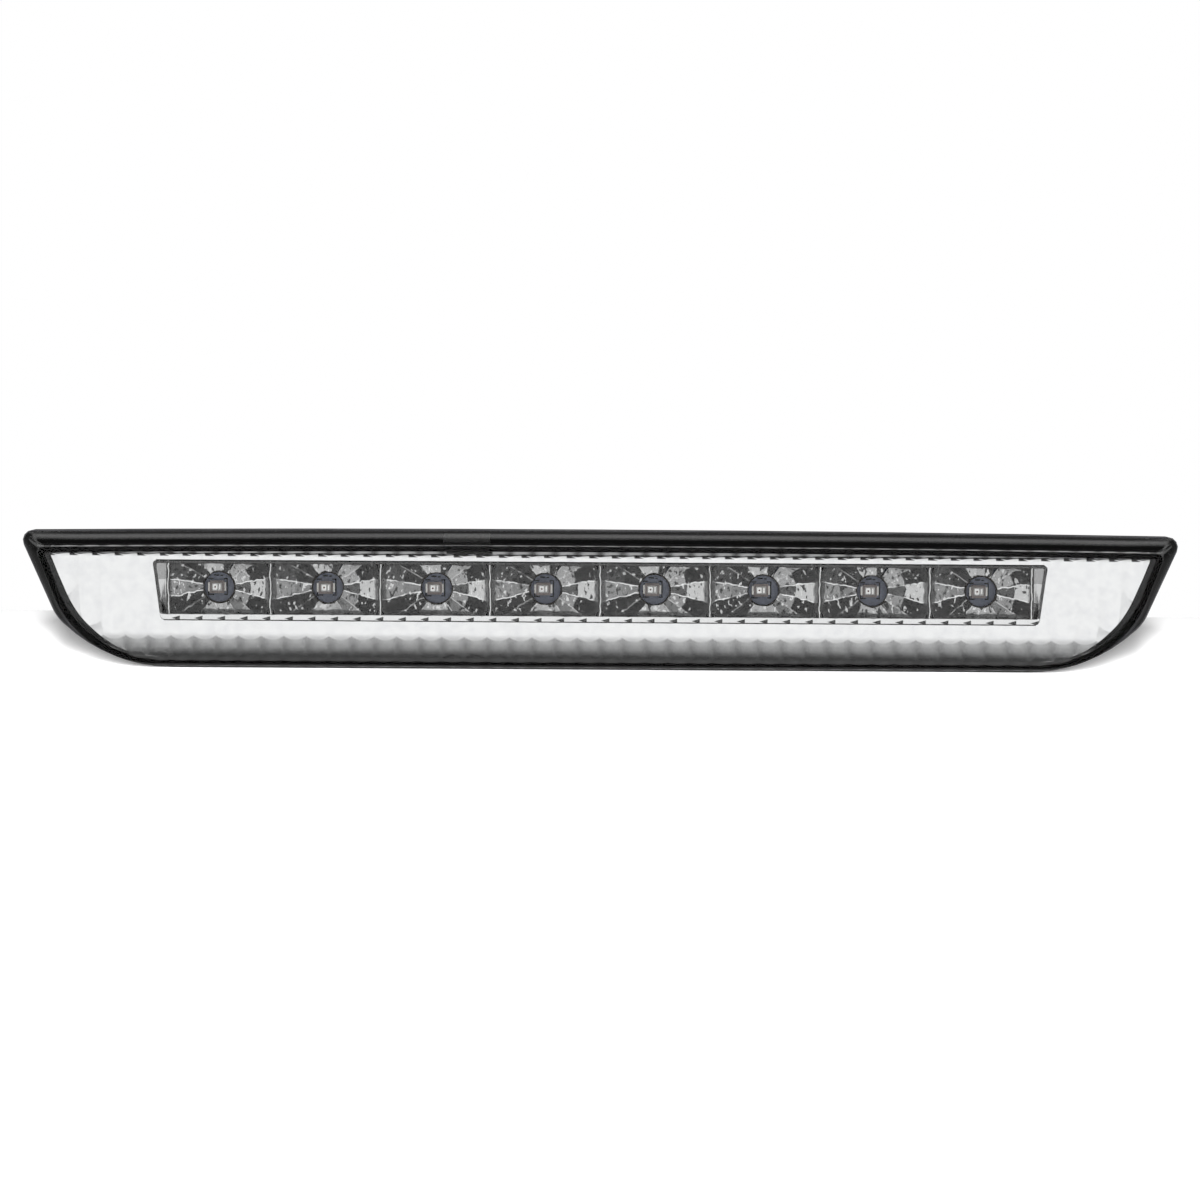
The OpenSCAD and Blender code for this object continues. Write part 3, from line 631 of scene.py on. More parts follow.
@dataclass(frozen=True)
class FacetPlating:
    """Plating on the row of cups, with painted reflections: every facet gets its own painted reflection tone, and the
    edges between facets get painted highlights.

    Attributes:
        name: The material's name.
        pitch: Spacing of the cups.
        count: How many cups there are.
        middle: Height of the LEDs.
        split_r: Distance from the LED where the inner facets meet the outer ones.
        hole_r: Radius of the LED's hole.
        half_h: Half of a cup's height.
        end_cell: From the outermost LEDs to the ridge past them.
        inner: Painted reflection tones of the inner facets, from the left one by way of the lowest.
        outer: Painted reflection tones of the outer facets, in the same order.
        edges: (angle in degrees, strength) of the painted highlight lines on the edges in a quarter of a cup.
        lean: Share of the facets' true slope that their reflections keep.
    """

    name: str
    pitch: float
    count: int
    middle: float
    split_r: float
    hole_r: float
    half_h: float = 6.55
    end_cell: float = 12.2
    inner: tuple[float, ...] = (0.24, 0.05, 0.05, 0.42, 0.46, 0.40, 0.20, 0.30, 0.12, 0.40, 0.46, 0.06, 0.44, 0.50,
                                0.07, 0.06)
    outer: tuple[float, ...] = (0.30, 0.05, 0.07, 0.40, 0.42, 0.34, 0.42, 0.045, 0.60, 0.06, 0.45, 0.30, 0.40, 0.30,
                                0.045, 0.11)
    edges: tuple[Point2, ...] = ((11.25, 0.95), (33.75, 0.4), (56.25, 0.6))
    lean: float = 0.3

    def material(self) -> bpy.types.Material:
        """Returns the plating as a material."""
        graph = Graph(self.name)
        graph.feed("Metallic", 1.0)
        across, up = self._from_led(graph)
        turn = graph.math("MULTIPLY_ADD", graph.math("ARCTAN2", up, across), 0.5 / math.pi, 0.5)
        reach = graph.math("SQRT", graph.math("ADD", graph.math("MULTIPLY", across, across),
                                              graph.math("MULTIPLY", up, up)))
        past = graph.math("GREATER_THAN", reach, self.split_r)
        # Each facet's tone is a painted reflection, picked by its turn round the LED.
        tone = graph.mix(past, self._tones(graph, turn, self.inner), self._tones(graph, turn, self.outer))
        specks = graph.noise(0.9, 2.0, (1.0, 1.0, 0.7))
        tone = graph.mix(graph.span(specks, 0.60, 0.62, 0.0, 0.9), tone, (0.03, 0.03, 0.03))
        tone = graph.mix(graph.span(specks, 0.37, 0.35, 0.0, 0.8), tone, (0.75, 0.75, 0.75))
        side, rise = graph.math("ABSOLUTE", across), graph.math("ABSOLUTE", up)
        broken = graph.span(graph.noise(0.35, 2.0), 0.35, 0.5, 0.25, 1.0)
        # Painted highlight lines along the facet edges.
        for degrees, strength in self.edges:
            a = math.radians(degrees)
            off = graph.math("ABSOLUTE", graph.math(
                "SUBTRACT", graph.math("MULTIPLY", rise, math.cos(a)), graph.math("MULTIPLY", side, math.sin(a))))
            line = graph.math("MULTIPLY", graph.span(off, 0.08, 0.2, strength, 0.0), broken)
            tone = graph.mix(line, tone, (0.85, 0.85, 0.85))
        place_at = graph.node("SeparateXYZ", {0: self._millimetres(graph)})
        front = node_box("cup_reflector")[0].y
        # Painted shade near each cell's side walls.
        wall = graph.span(side, self.pitch / 2 - 1.7, self.pitch / 2 - 1.2, 0.0, 0.8)
        tone = graph.mix(wall, tone, (0.07, 0.07, 0.07))
        # Painted shade along each cell's upper and lower walls.
        for level_at, way in ((self.half_h - 0.55, 1.0), (0.9 - self.half_h, -1.0)):
            shade = graph.span(graph.math("MULTIPLY", up, way), way * level_at, way * level_at + 0.2, 0.0, 0.8)
            tone = graph.mix(shade, tone, (0.06, 0.06, 0.06))
        # Painted reflection in the outer end pockets: lighter near the LEDs' height, darker above and below.
        pocket = graph.span(side, self.end_cell + 0.5, self.end_cell + 0.7, 0.0, 1.0)
        outermost = graph.math("GREATER_THAN", graph.math("ABSOLUTE", place_at.outputs[0]),
                               self.pitch * (self.count - 1) / 2)
        pocket_reflection = graph.mix(graph.math("LESS_THAN", rise, 2.4), (0.40, 0.40, 0.40), (0.68, 0.68, 0.68))
        tone = graph.mix(graph.math("MULTIPLY", pocket, outermost), tone, pocket_reflection)
        # Painted highlight along each ridge's crest, with painted shade beside it on the front.
        ridge = graph.math("MINIMUM", graph.math("ABSOLUTE", graph.math("SUBTRACT", side, self.pitch / 2)),
                           graph.math("ABSOLUTE", graph.math("SUBTRACT", side, self.end_cell)))
        ridge_highlight = graph.mix(graph.span(ridge, 0.09, 0.15, 0.0, 1.0), (0.75, 0.75, 0.75), (0.07, 0.07, 0.07))
        tone = graph.mix(graph.span(place_at.outputs[1], front + 0.5, front + 0.6, 1.0, 0.0), tone, ridge_highlight)
        # Painted shade round the edge of each LED's hole.
        hole_edge_shade = graph.span(reach, self.hole_r + 0.32, self.hole_r + 0.42, 1.0, 0.0)
        tone = graph.mix(hole_edge_shade, tone, (0.02, 0.018, 0.016))
        # Painted reflection on the front: the bright shelf below the cups with dark notches, and dark above it.
        front_reflection = graph.mix(graph.span(up, -self.half_h - 0.1, -self.half_h + 0.1, 0.0, 1.0), self._shelf_reflection(graph, place_at),
                         (0.10, 0.10, 0.10))
        tone = graph.mix(graph.span(place_at.outputs[1], front + 0.06, front + 0.12, 1.0, 0.0), tone, front_reflection)
        graph.feed("Base Color", tone)
        wave = graph.noise(0.45, 1.5)
        graph.feed("Roughness", graph.span(wave, 0.3, 0.7, 0.10, 0.22))
        facing = graph.node("NewGeometry").outputs["Normal"]
        calmer = graph.node("VectorMath", {0: facing, 1: (self.lean, 1.0, self.lean)}, operation="MULTIPLY")
        level_off = graph.node("VectorMath", {0: calmer.outputs[0]}, operation="NORMALIZE")
        bump = graph.node("Bump", {"Height": wave, "Distance": 0.05 * MM, "Strength": 1.0,
                                   "Normal": level_off.outputs[0]})
        graph.feed("Normal", bump.outputs[0])
        return graph.material

    def _shelf_reflection(self, graph: Graph, place_at: bpy.types.Node) -> bpy.types.NodeSocket:
        """Returns the bright painted reflection of the shelf below the cups, with a dark painted reflection notch at
        the foot of each flute.
        """
        along = graph.math("FRACT", graph.math("DIVIDE", place_at.outputs[0], 5.85))
        rise = graph.math("SUBTRACT", place_at.outputs[2], self.middle - self.half_h - 1.0)
        thin = graph.math("MULTIPLY", graph.math("SUBTRACT", along, 0.05), 1.7)
        notch_reflection = graph.math("LESS_THAN", graph.math("ABSOLUTE", graph.math("ADD", rise, 0.1)), thin)
        short = graph.math("LESS_THAN", along, 0.42)
        return graph.mix(graph.math("MULTIPLY", notch_reflection, short), (0.85, 0.85, 0.85), (0.08, 0.08, 0.08))

    @staticmethod
    def _millimetres(graph: Graph) -> bpy.types.NodeSocket:
        """Returns the place on the object in millimetres."""
        return graph.node("Mapping", {"Vector": graph.place, "Scale": (1 / MM,) * 3}).outputs[0]

    def _from_led(self, graph: Graph) -> tuple[bpy.types.NodeSocket, bpy.types.NodeSocket]:
        """Returns how far right of and above the nearest LED a place is, slightly blurred by waves."""
        split = graph.node("SeparateXYZ", {0: self._millimetres(graph)})
        half = self.count // 2
        cell = graph.math("FLOOR", graph.math("DIVIDE", split.outputs[0], self.pitch))
        cell = graph.math("MINIMUM", graph.math("MAXIMUM", cell, float(-half)), float(half - 1))
        led = graph.math("MULTIPLY", graph.math("ADD", cell, 0.5), self.pitch)
        shift = graph.span(graph.noise(0.5, 1.0), 0.3, 0.7, -0.18, 0.18)
        across = graph.math("ADD", graph.math("SUBTRACT", split.outputs[0], led), shift)
        return across, graph.math("SUBTRACT", graph.math("SUBTRACT", split.outputs[2], self.middle), shift)

    @staticmethod
    def _tones(graph: Graph, turn: bpy.types.NodeSocket, tones: Sequence[float]) -> bpy.types.NodeSocket:
        """Returns a facet's tone from the turn round the LED."""
        ramp = graph.node("ValToRGB", {0: turn})
        ramp.color_ramp.interpolation = "CONSTANT"
        elements = ramp.color_ramp.elements
        places = [0.0, *((k + 0.5) / len(tones) for k in range(len(tones)))]
        while len(elements) < len(places):
            elements.new(0.99)
        for element, at, tone in zip(elements, places, [*tones, tones[0]]):
            element.position = at
            element.color = (tone, tone, tone, 1.0)
        return ramp.outputs[0]


FINISHES: dict[str, Finish] = {
    finish.name: finish
    for finish in (
        Finish("black_housing", (0.0045, 0.0045, 0.005), (0.007, 0.007, 0.0075), 0.0, (0.28, 0.42), 6.0, 0.012),
        Finish("seal_rubber", (0.006, 0.006, 0.006), (0.014, 0.014, 0.014), 0.0, (0.6, 0.8), 5.0, 0.02),
        # Painted shade, in black, for the cover's shoulder and skirt.
        Finish("shoulder_painted_shade", (0.004, 0.004, 0.004), (0.007, 0.007, 0.007), 0.0, (0.4, 0.6), 5.0, 0.01),
        Finish("black_foam", (0.012, 0.012, 0.013), (0.04, 0.04, 0.042), 0.0, (0.8, 0.95), 2.2, 0.18),
        Finish("board_laminate", (0.30, 0.33, 0.43), (0.34, 0.37, 0.47), 0.0, (0.3, 0.45), 3.0, 0.006),
        Finish("led_ceramic", (0.42, 0.36, 0.355), (0.50, 0.43, 0.42), 0.0, (0.4, 0.55), 8.0, 0.006),
        Finish("tinned_metal", (0.62, 0.61, 0.58), (0.48, 0.47, 0.45), 1.0, (0.2, 0.42), 7.0, 0.008),
        Finish("component_black", (0.012, 0.012, 0.014), (0.03, 0.03, 0.03), 0.0, (0.45, 0.6), 8.0, 0.008),
        Finish("component_tan", (0.32, 0.22, 0.12), (0.40, 0.29, 0.17), 0.0, (0.5, 0.65), 6.0, 0.006),
        Finish("zinc_steel", (0.60, 0.60, 0.58), (0.50, 0.49, 0.43), 1.0, (0.22, 0.42), 3.0, 0.01),
        Finish("connector_black", (0.014, 0.014, 0.015), (0.022, 0.022, 0.023), 0.0, (0.32, 0.48), 5.0, 0.01),
        Finish("seal_orange", (0.55, 0.12, 0.02), (0.62, 0.16, 0.03), 0.0, (0.4, 0.55), 3.0, 0.01),
        Finish("wire_red", (0.42, 0.015, 0.012), (0.50, 0.02, 0.015), 0.0, (0.32, 0.45), 4.0, 0.006),
        Finish("wire_black", (0.012, 0.012, 0.012), (0.02, 0.02, 0.02), 0.0, (0.32, 0.45), 4.0, 0.006),
        Finish("vent_white", (0.78, 0.78, 0.76), (0.70, 0.70, 0.68), 0.0, (0.7, 0.85), 9.0, 0.02),
        Finish("led_chip", (0.22, 0.02, 0.015), (0.16, 0.01, 0.01), 0.0, (0.2, 0.3), 9.0, 0.002),
        Finish("led_silicone", (0.93, 0.91, 0.89), (0.98, 0.96, 0.94), 0.0, (0.12, 0.2), 3.0, 0.003),
        Finish("frosted_gate", (0.20, 0.20, 0.20), (0.11, 0.11, 0.11), 0.0, (0.5, 0.7), 3.0, 0.03, (1, 1, 1), 1.6),
        Finish("board_print", (0.015, 0.02, 0.03), (0.025, 0.03, 0.045), 0.0, (0.5, 0.6), 6.0, 0.004),
        Finish("solder_pad", (0.80, 0.80, 0.78), (0.70, 0.70, 0.69), 1.0, (0.15, 0.3), 6.0, 0.004),
    )
}


class Paints:
    """Makes each material once and gives it to pieces."""

    def __init__(self) -> None:
        """Starts with no material made."""
        self.made: dict[str, bpy.types.Material] = {}

    def get(self, finish: "Finish | ClearPlastic | Plating | FacetPlating") -> bpy.types.Material:
        """Returns the material of a finish."""
        if finish.name not in self.made:
            self.made[finish.name] = finish.material()
        return self.made[finish.name]

    def dress(self, piece: bpy.types.Object,
              finish: "Finish | ClearPlastic | Plating | FacetPlating") -> bpy.types.Object:
        """Gives a piece one finish all over.

        Args:
            piece: The piece to dress.
            finish: What it is dressed in.

        Returns:
            The same piece.
        """
        material = self.get(finish)
        if not piece.data.materials:
            piece.data.materials.append(material)
        for slot in piece.material_slots:
            slot.material = material
        return piece


PAINTS = Paints()
COVER_PLASTIC = ClearPlastic()
BEZEL_CHROME = Plating("chrome_plating", (0.93, 0.93, 0.93), (0.86, 0.86, 0.87), (0.06, 0.12), 0.12, 0.05, 5.85)


def place(piece: bpy.types.Object, slot: str, *nodes: str) -> bpy.types.Object:
    """Settles a finished piece on the lamp's body.

    Args:
        piece: The piece.
        slot: The name of a material slot; not used.
        *nodes: The CAD nodes that it stands for.

    Returns:
        The same piece.
    """
    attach(piece, BODY)
    if nodes:
        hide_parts(*nodes)
    LOG.info("%s: %d faces", piece.name, len(piece.data.polygons))
    return piece


# ---- shape of the lamp ---------------------------------------------------------------------------


@dataclass(frozen=True)
class LampShape:
    """The outlines and depths that the lamp's pieces share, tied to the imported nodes' boxes.

    Attributes:
        end_slant: Lean of the ends from upright, in degrees.
        corner_r: Radius of the rim's upper corners.
        top_arch: Rise of the top edge at the middle.
        bend_r: Radius of the bend in each end.
        chin_rise: Height of that bend above the bottom.
        chin_slope: Slope from the bend to the bottom, in degrees.
    """

    end_slant: float = 24.0
    corner_r: float = 2.7
    top_arch: float = 0.9
    bend_r: float = 12.0
    chin_rise: float = 13.0
    chin_slope: float = 43.0
    skirt_in: float = 1.0
    shoulder_in: float = 0.3
    skirt_wall: float = 1.5
    tongue: float = 2.4
    face_wall: float = 1.8

    @property
    def rim_y(self) -> float:
        """Depth of the housing's front edge."""
        return node_box("housing")[0].y

    @property
    def front_y(self) -> float:
        """Depth of the cover's face."""
        return node_box("lens")[0].y

    def rim(self) -> Outline:
        """Returns the housing's rim."""
        low, high = node_box("housing")
        slant, slope = math.radians(self.end_slant), math.radians(self.chin_slope)
        top_x = high.x + self.corner_r * ((1 + math.sin(slant)) / math.cos(slant) - 1)
        top_z, bend_z = high.z - self.top_arch, low.z + self.chin_rise
        bend_x = top_x - (top_z - bend_z) * math.tan(slant)
        bend = self.bend_r * math.tan((math.pi / 2 - slant - slope) / 2)
        chin_r = (self.chin_rise / math.sin(slope) - bend - 0.3) / math.tan(slope / 2)
        corners = (
            (bend_x - self.chin_rise / math.tan(slope), low.z, chin_r),
            (bend_x, bend_z, self.bend_r),
            (top_x, top_z, self.corner_r),
        )
        return Outline(corners, self.top_arch)

    def face(self) -> Outline:
        """Returns the edge of the cover's face, at its chamfer."""
        low, high = node_box("housing")
        top_x = self.rim().corners[-1][0] - 6.4
        top_z, low_z = high.z - self.top_arch - 3.9, low.z + 1.8
        low_x = top_x - (top_z - low_z) * math.tan(math.radians(20.7))
        return Outline(((low_x, low_z, 28.0), (top_x, top_z, 1.6)), self.top_arch)

    def bezel(self) -> Outline:
        """Returns the bezel's outer edge."""
        low, high = node_box("housing")
        top_x = self.rim().corners[-1][0] - 8.8
        top_z, low_z = high.z - 6.3, low.z + 3.2
        low_x = top_x - (top_z - low_z) * math.tan(math.radians(22.5))
        return Outline(((low_x, low_z, 27.0), (top_x, top_z, 0.8)))

    def strip(self) -> Outline:
        """Returns the outline of the row of cups."""
        high = node_box("housing")[1]
        top_z = high.z - 6.3 - 2.1
        half = high.x - 34.3
        return Outline(((half - 2.0, top_z - 15.4, 1.2), (half, top_z, 0.9)))


SHAPE = LampShape()


# ---- clear cover -------------------------------------------------------------------------------


@dataclass
class ClearCover:
    """The clear cover: a skirt in the housing's groove, a shoulder on its lip, flared sides and a flat face."""

    edge_r: float = 0.12
    edge_steps: int = 3
    crown: float = 0.3

    def face_ring(self, distance: float) -> list[Point2]:
        """Returns the face's edge moved inwards, with one point for each of the rim's.

        Args:
            distance: How far inwards.

        Returns:
            The face's two corners a side, with points on its straight ends that answer to the rim's bends.
        """
        face = SHAPE.face()
        ring = face.inset(distance)
        low, top = face.steps + 1, 7
        arch = len(ring) - 2 * (low + top)
        ends = []
        for first, last in ((ring[low - 1], ring[low]), (ring[low + top * 2 + arch - 1], ring[low + top * 2 + arch])):
            shares = spread(0.05, 0.6, face.steps)
            if first[1] > last[1]:
                shares = [1 - t for t in reversed(shares)]
            ends.append([(first[0] + (last[0] - first[0]) * t, first[1] + (last[1] - first[1]) * t) for t in shares])
        return [*ring[:low], *ends[0], *ring[low:low + top * 2 + arch], *ends[1], *ring[low + top * 2 + arch:]]

    def build(self) -> bpy.types.Object:
        """Builds, dresses and places the cover."""
        rim_y, front_y = SHAPE.rim_y, SHAPE.front_y
        wall = SHAPE.skirt_wall
        rear_y = rim_y + SHAPE.tongue
        inner_front = front_y + SHAPE.face_wall
        face_y = front_y + self.edge_r
        inner_rim = SHAPE.rim().inset(SHAPE.skirt_in + wall)
        outer_rim = SHAPE.rim().inset(SHAPE.skirt_in)
        shoulder = SHAPE.rim().inset(SHAPE.shoulder_in)
        loft = Loft("clear_cover", level(self.face_ring(wall + 0.3), inner_front)).cap()
        loft.reach(level(self.face_ring(wall), inner_front))
        loft.reach(level(inner_rim, rim_y)).reach(level(inner_rim, rear_y))
        loft.reach(level(outer_rim, rear_y)).reach(level(outer_rim, rim_y - 0.005))
        loft.reach(level(shoulder, rim_y - 0.005))
        loft.reach(level(blend_rings(shoulder, self.face_ring(0.0), 0.03), rim_y - 0.3))
        spans = 8
        for i in range(1, spans):
            t = i / spans
            crown = 4 * self.crown * t * (1 - t)
            loft.reach(level(blend_rings(shoulder, self.face_ring(-crown / max(t, 0.2)), t),
                             rim_y + (face_y - rim_y) * t))
        for i in range(self.edge_steps + 1):
            a = math.pi / 2 * i / self.edge_steps
            ring = self.face_ring(self.edge_r * 0.8 * (1 - math.cos(a)))
            loft.reach(level(ring, face_y - self.edge_r * math.sin(a)))
        loft.reach(level(self.face_ring(self.edge_r * 0.8 + 0.3), front_y)).cap()
        piece = PAINTS.dress(smooth(clean(loft.done()), 25), COVER_PLASTIC)
        # The cover's shoulder ring and skirt are painted black as painted shade.
        piece.data.materials.append(PAINTS.get(FINISHES["shoulder_painted_shade"]))
        for face in piece.data.polygons:
            if face.center.y > (rim_y - 0.35) * MM:
                face.material_index = 1
        return place(piece, "clear_cover", "lens")


def blend_rings(first: Sequence[Point2], second: Sequence[Point2], share: float) -> list[Point2]:
    """Returns the ring part of the way from one ring to another."""
    return [(a[0] + (b[0] - a[0]) * share, a[1] + (b[1] - a[1]) * share) for a, b in zip(first, second)]


# ---- fluted bezel ------------------------------------------------------------------------------


@dataclass
class FlutedBezel:
    """The chrome surround: a flat back wall that sweeps forward below, with upright flutes all along."""

    pitch: float = 5.85
    depth: float = 0.5
    wall: float = 1.2
    sweep_rise: float = 7.6
    sweep_run: float = 2.6
    lip_run: float = 0.9
    lip_drop: float = 0.7
    points_per_flute: int = 12
    cusp_r: float = 0.16
    profile: list[tuple[float, float, float, float]] = field(default_factory=list)

    def face_y(self) -> float:
        """Returns the depth of the crests between the flutes."""
        return SHAPE.rim_y - 2.6

    def flute(self, x: float) -> float:
        """Returns how deep the flutes are at a place along the lamp."""
        u = abs((x / self.pitch) % 1.0 - 0.5) * self.pitch
        half = self.pitch / 2
        r = (half * half + self.depth * self.depth) / (2 * self.depth)
        sunk = math.sqrt(r * r - u * u) - (r - self.depth)
        near = half - u
        return sunk if near > self.cusp_r else max(sunk, (self.cusp_r - near) * 0.22)

    def section(self) -> list[tuple[float, float, float, float]]:
        """Returns the face's side view from the lower lip to the upper.

        Returns:
            (y, z, share of the flutes' depth, lean of the surface in radians) of each step.
        """
        y, low, top = self.face_y(), SHAPE.bezel().corners[0][1], SHAPE.bezel().corners[-1][1]
        turn = 2 * math.atan(self.sweep_run / self.sweep_rise)
        r = self.sweep_rise / math.sin(turn)
        steps = 18
        rows = [
            (y - r * (1 - math.cos(a)), low + self.sweep_rise - r * math.sin(a),
             1.0 + 1.2 * a / turn - 2.0 * (a / turn) ** 2, a)
            for a in (turn * i / steps for i in range(steps, -1, -1))
        ]
        foot, head = low + self.sweep_rise, top - self.lip_drop
        strip_low, strip_top = SHAPE.strip().corners[0][1] - 0.2, SHAPE.strip().corners[-1][1] + 0.2
        rows += [(y, z, 1.0, 0.0) for z in spread(foot, strip_low, 3)[1:]]
        rows += [(y, z, 1.0, 0.0) for z in spread(strip_low, strip_top, 14)[1:]]
        rows += [(y, z, 1.0, 0.0) for z in spread(strip_top, head - 0.3, 3)[1:]]
        rows += [(y, head, 1.0, -0.6), (y - self.lip_run * 0.5, head + self.lip_drop * 0.5, 0.8, -0.8),
                 (y - self.lip_run * 0.9, top - 0.08, 0.1, -0.9), (y - self.lip_run, top, 0.0, -0.9)]
        return rows

    def columns(self, low: float, high: float) -> list[float]:
        """Returns places along the lamp, as many to every flute, that cover a stretch."""
        step = self.pitch / self.points_per_flute
        return [i * step for i in range(math.floor(low / step), math.ceil(high / step) + 1)]

    def patch(self, rows: Sequence[tuple[float, float, float, float]], inner: Callable[[float], float],
              outer: Callable[[float], float], name: str) -> bpy.types.Object:
        """Builds one patch of the fluted face.

        Args:
            rows: Steps of the side view that it covers.
            inner: The patch's lower limit in X at a height.
            outer: Its upper limit in X at a height.
            name: Its name.

        Returns:
            The open patch.
        """
        places = self.columns(min(inner(r[1]) for r in rows), max(outer(r[1]) for r in rows))

        def row(step: tuple[float, float, float, float]) -> list[tuple[float, float, float]]:
            y, z, share, lean = step
            made = []
            for x in places:
                x = min(max(x, inner(z)), outer(z))
                sunk = self.flute(x) * share
                made.append((x, y + sunk * math.cos(lean), z - sunk * math.sin(lean)))
            return made

        lofts = [row(r) for r in rows]
        return grid_skin(lofts, name)

    def build(self) -> bpy.types.Object:
        """Builds, dresses and places the bezel."""
        edge, strip = SHAPE.bezel(), SHAPE.strip()
        gap = Outline(tuple((x + 0.2, z, r) for x, z, r in strip.corners))
        rows = self.section()
        strip_low, strip_top = strip.corners[0][1] - 0.2, strip.corners[-1][1] + 0.2
        below = [r for r in rows if r[1] <= strip_low + 1e-6]
        beside = [r for r in rows if strip_low - 1e-6 <= r[1] <= strip_top + 1e-6]
        above = [r for r in rows if r[1] >= strip_top - 1e-6]

        def rim(z: float) -> float:
            return edge.half_width(min(max(z, edge.corners[0][1] + 0.01), edge.corners[-1][1] - 0.01))

        def hole(z: float) -> float:
            return gap.half_width(min(max(z, strip.corners[0][1] + 0.01), strip.corners[-1][1] - 0.01))

        pieces = [
            self.patch(below, lambda z: -rim(z), rim, "below"),
            self.patch(above, lambda z: -rim(z), rim, "above"),
            self.patch(beside, hole, rim, "right"),
            self.patch(beside, lambda z: -rim(z), lambda z: -hole(z), "left"),
        ]
        piece = clean(join(pieces, "fluted_bezel"), 0.02, outwards=False)
        piece = apply_modifier(piece, "SOLIDIFY", thickness=self.wall * MM, offset=-1.0, use_even_offset=False)
        piece = smooth(piece, 28)
        return place(PAINTS.dress(piece, BEZEL_CHROME), "chrome_plating", "fluted_bezel")


def spread(first: float, last: float, parts: int) -> list[float]:
    """Returns evenly spaced values from first to last."""
    return [first + (last - first) * i / parts for i in range(parts + 1)]


def grid_skin(rows: Sequence[Sequence[Sequence[float]]], name: str) -> bpy.types.Object:
    """Adds a grid and lays its points on the given rows.

    Args:
        rows: Rows of points in millimetres, as many in each.
        name: The piece's name.

    Returns:
        The open skin, whose faces look towards -Y when rows rise and points run along +X.
    """
    clear_selection()
    across, up = len(rows[0]), len(rows)
    bpy.ops.mesh.primitive_grid_add(x_subdivisions=across - 1, y_subdivisions=up - 1, size=2)
    piece = named(name)
    order = sorted(range(len(piece.data.vertices)), key=lambda i: (
        round(piece.data.vertices[i].co.y, 5), round(piece.data.vertices[i].co.x, 5)))
    flat = [p for row in rows for p in row]
    for i, p in zip(order, flat):
        piece.data.vertices[i].co = Vector(p) * MM
    return piece


# ---- cups --------------------------------------------------------------------------------------


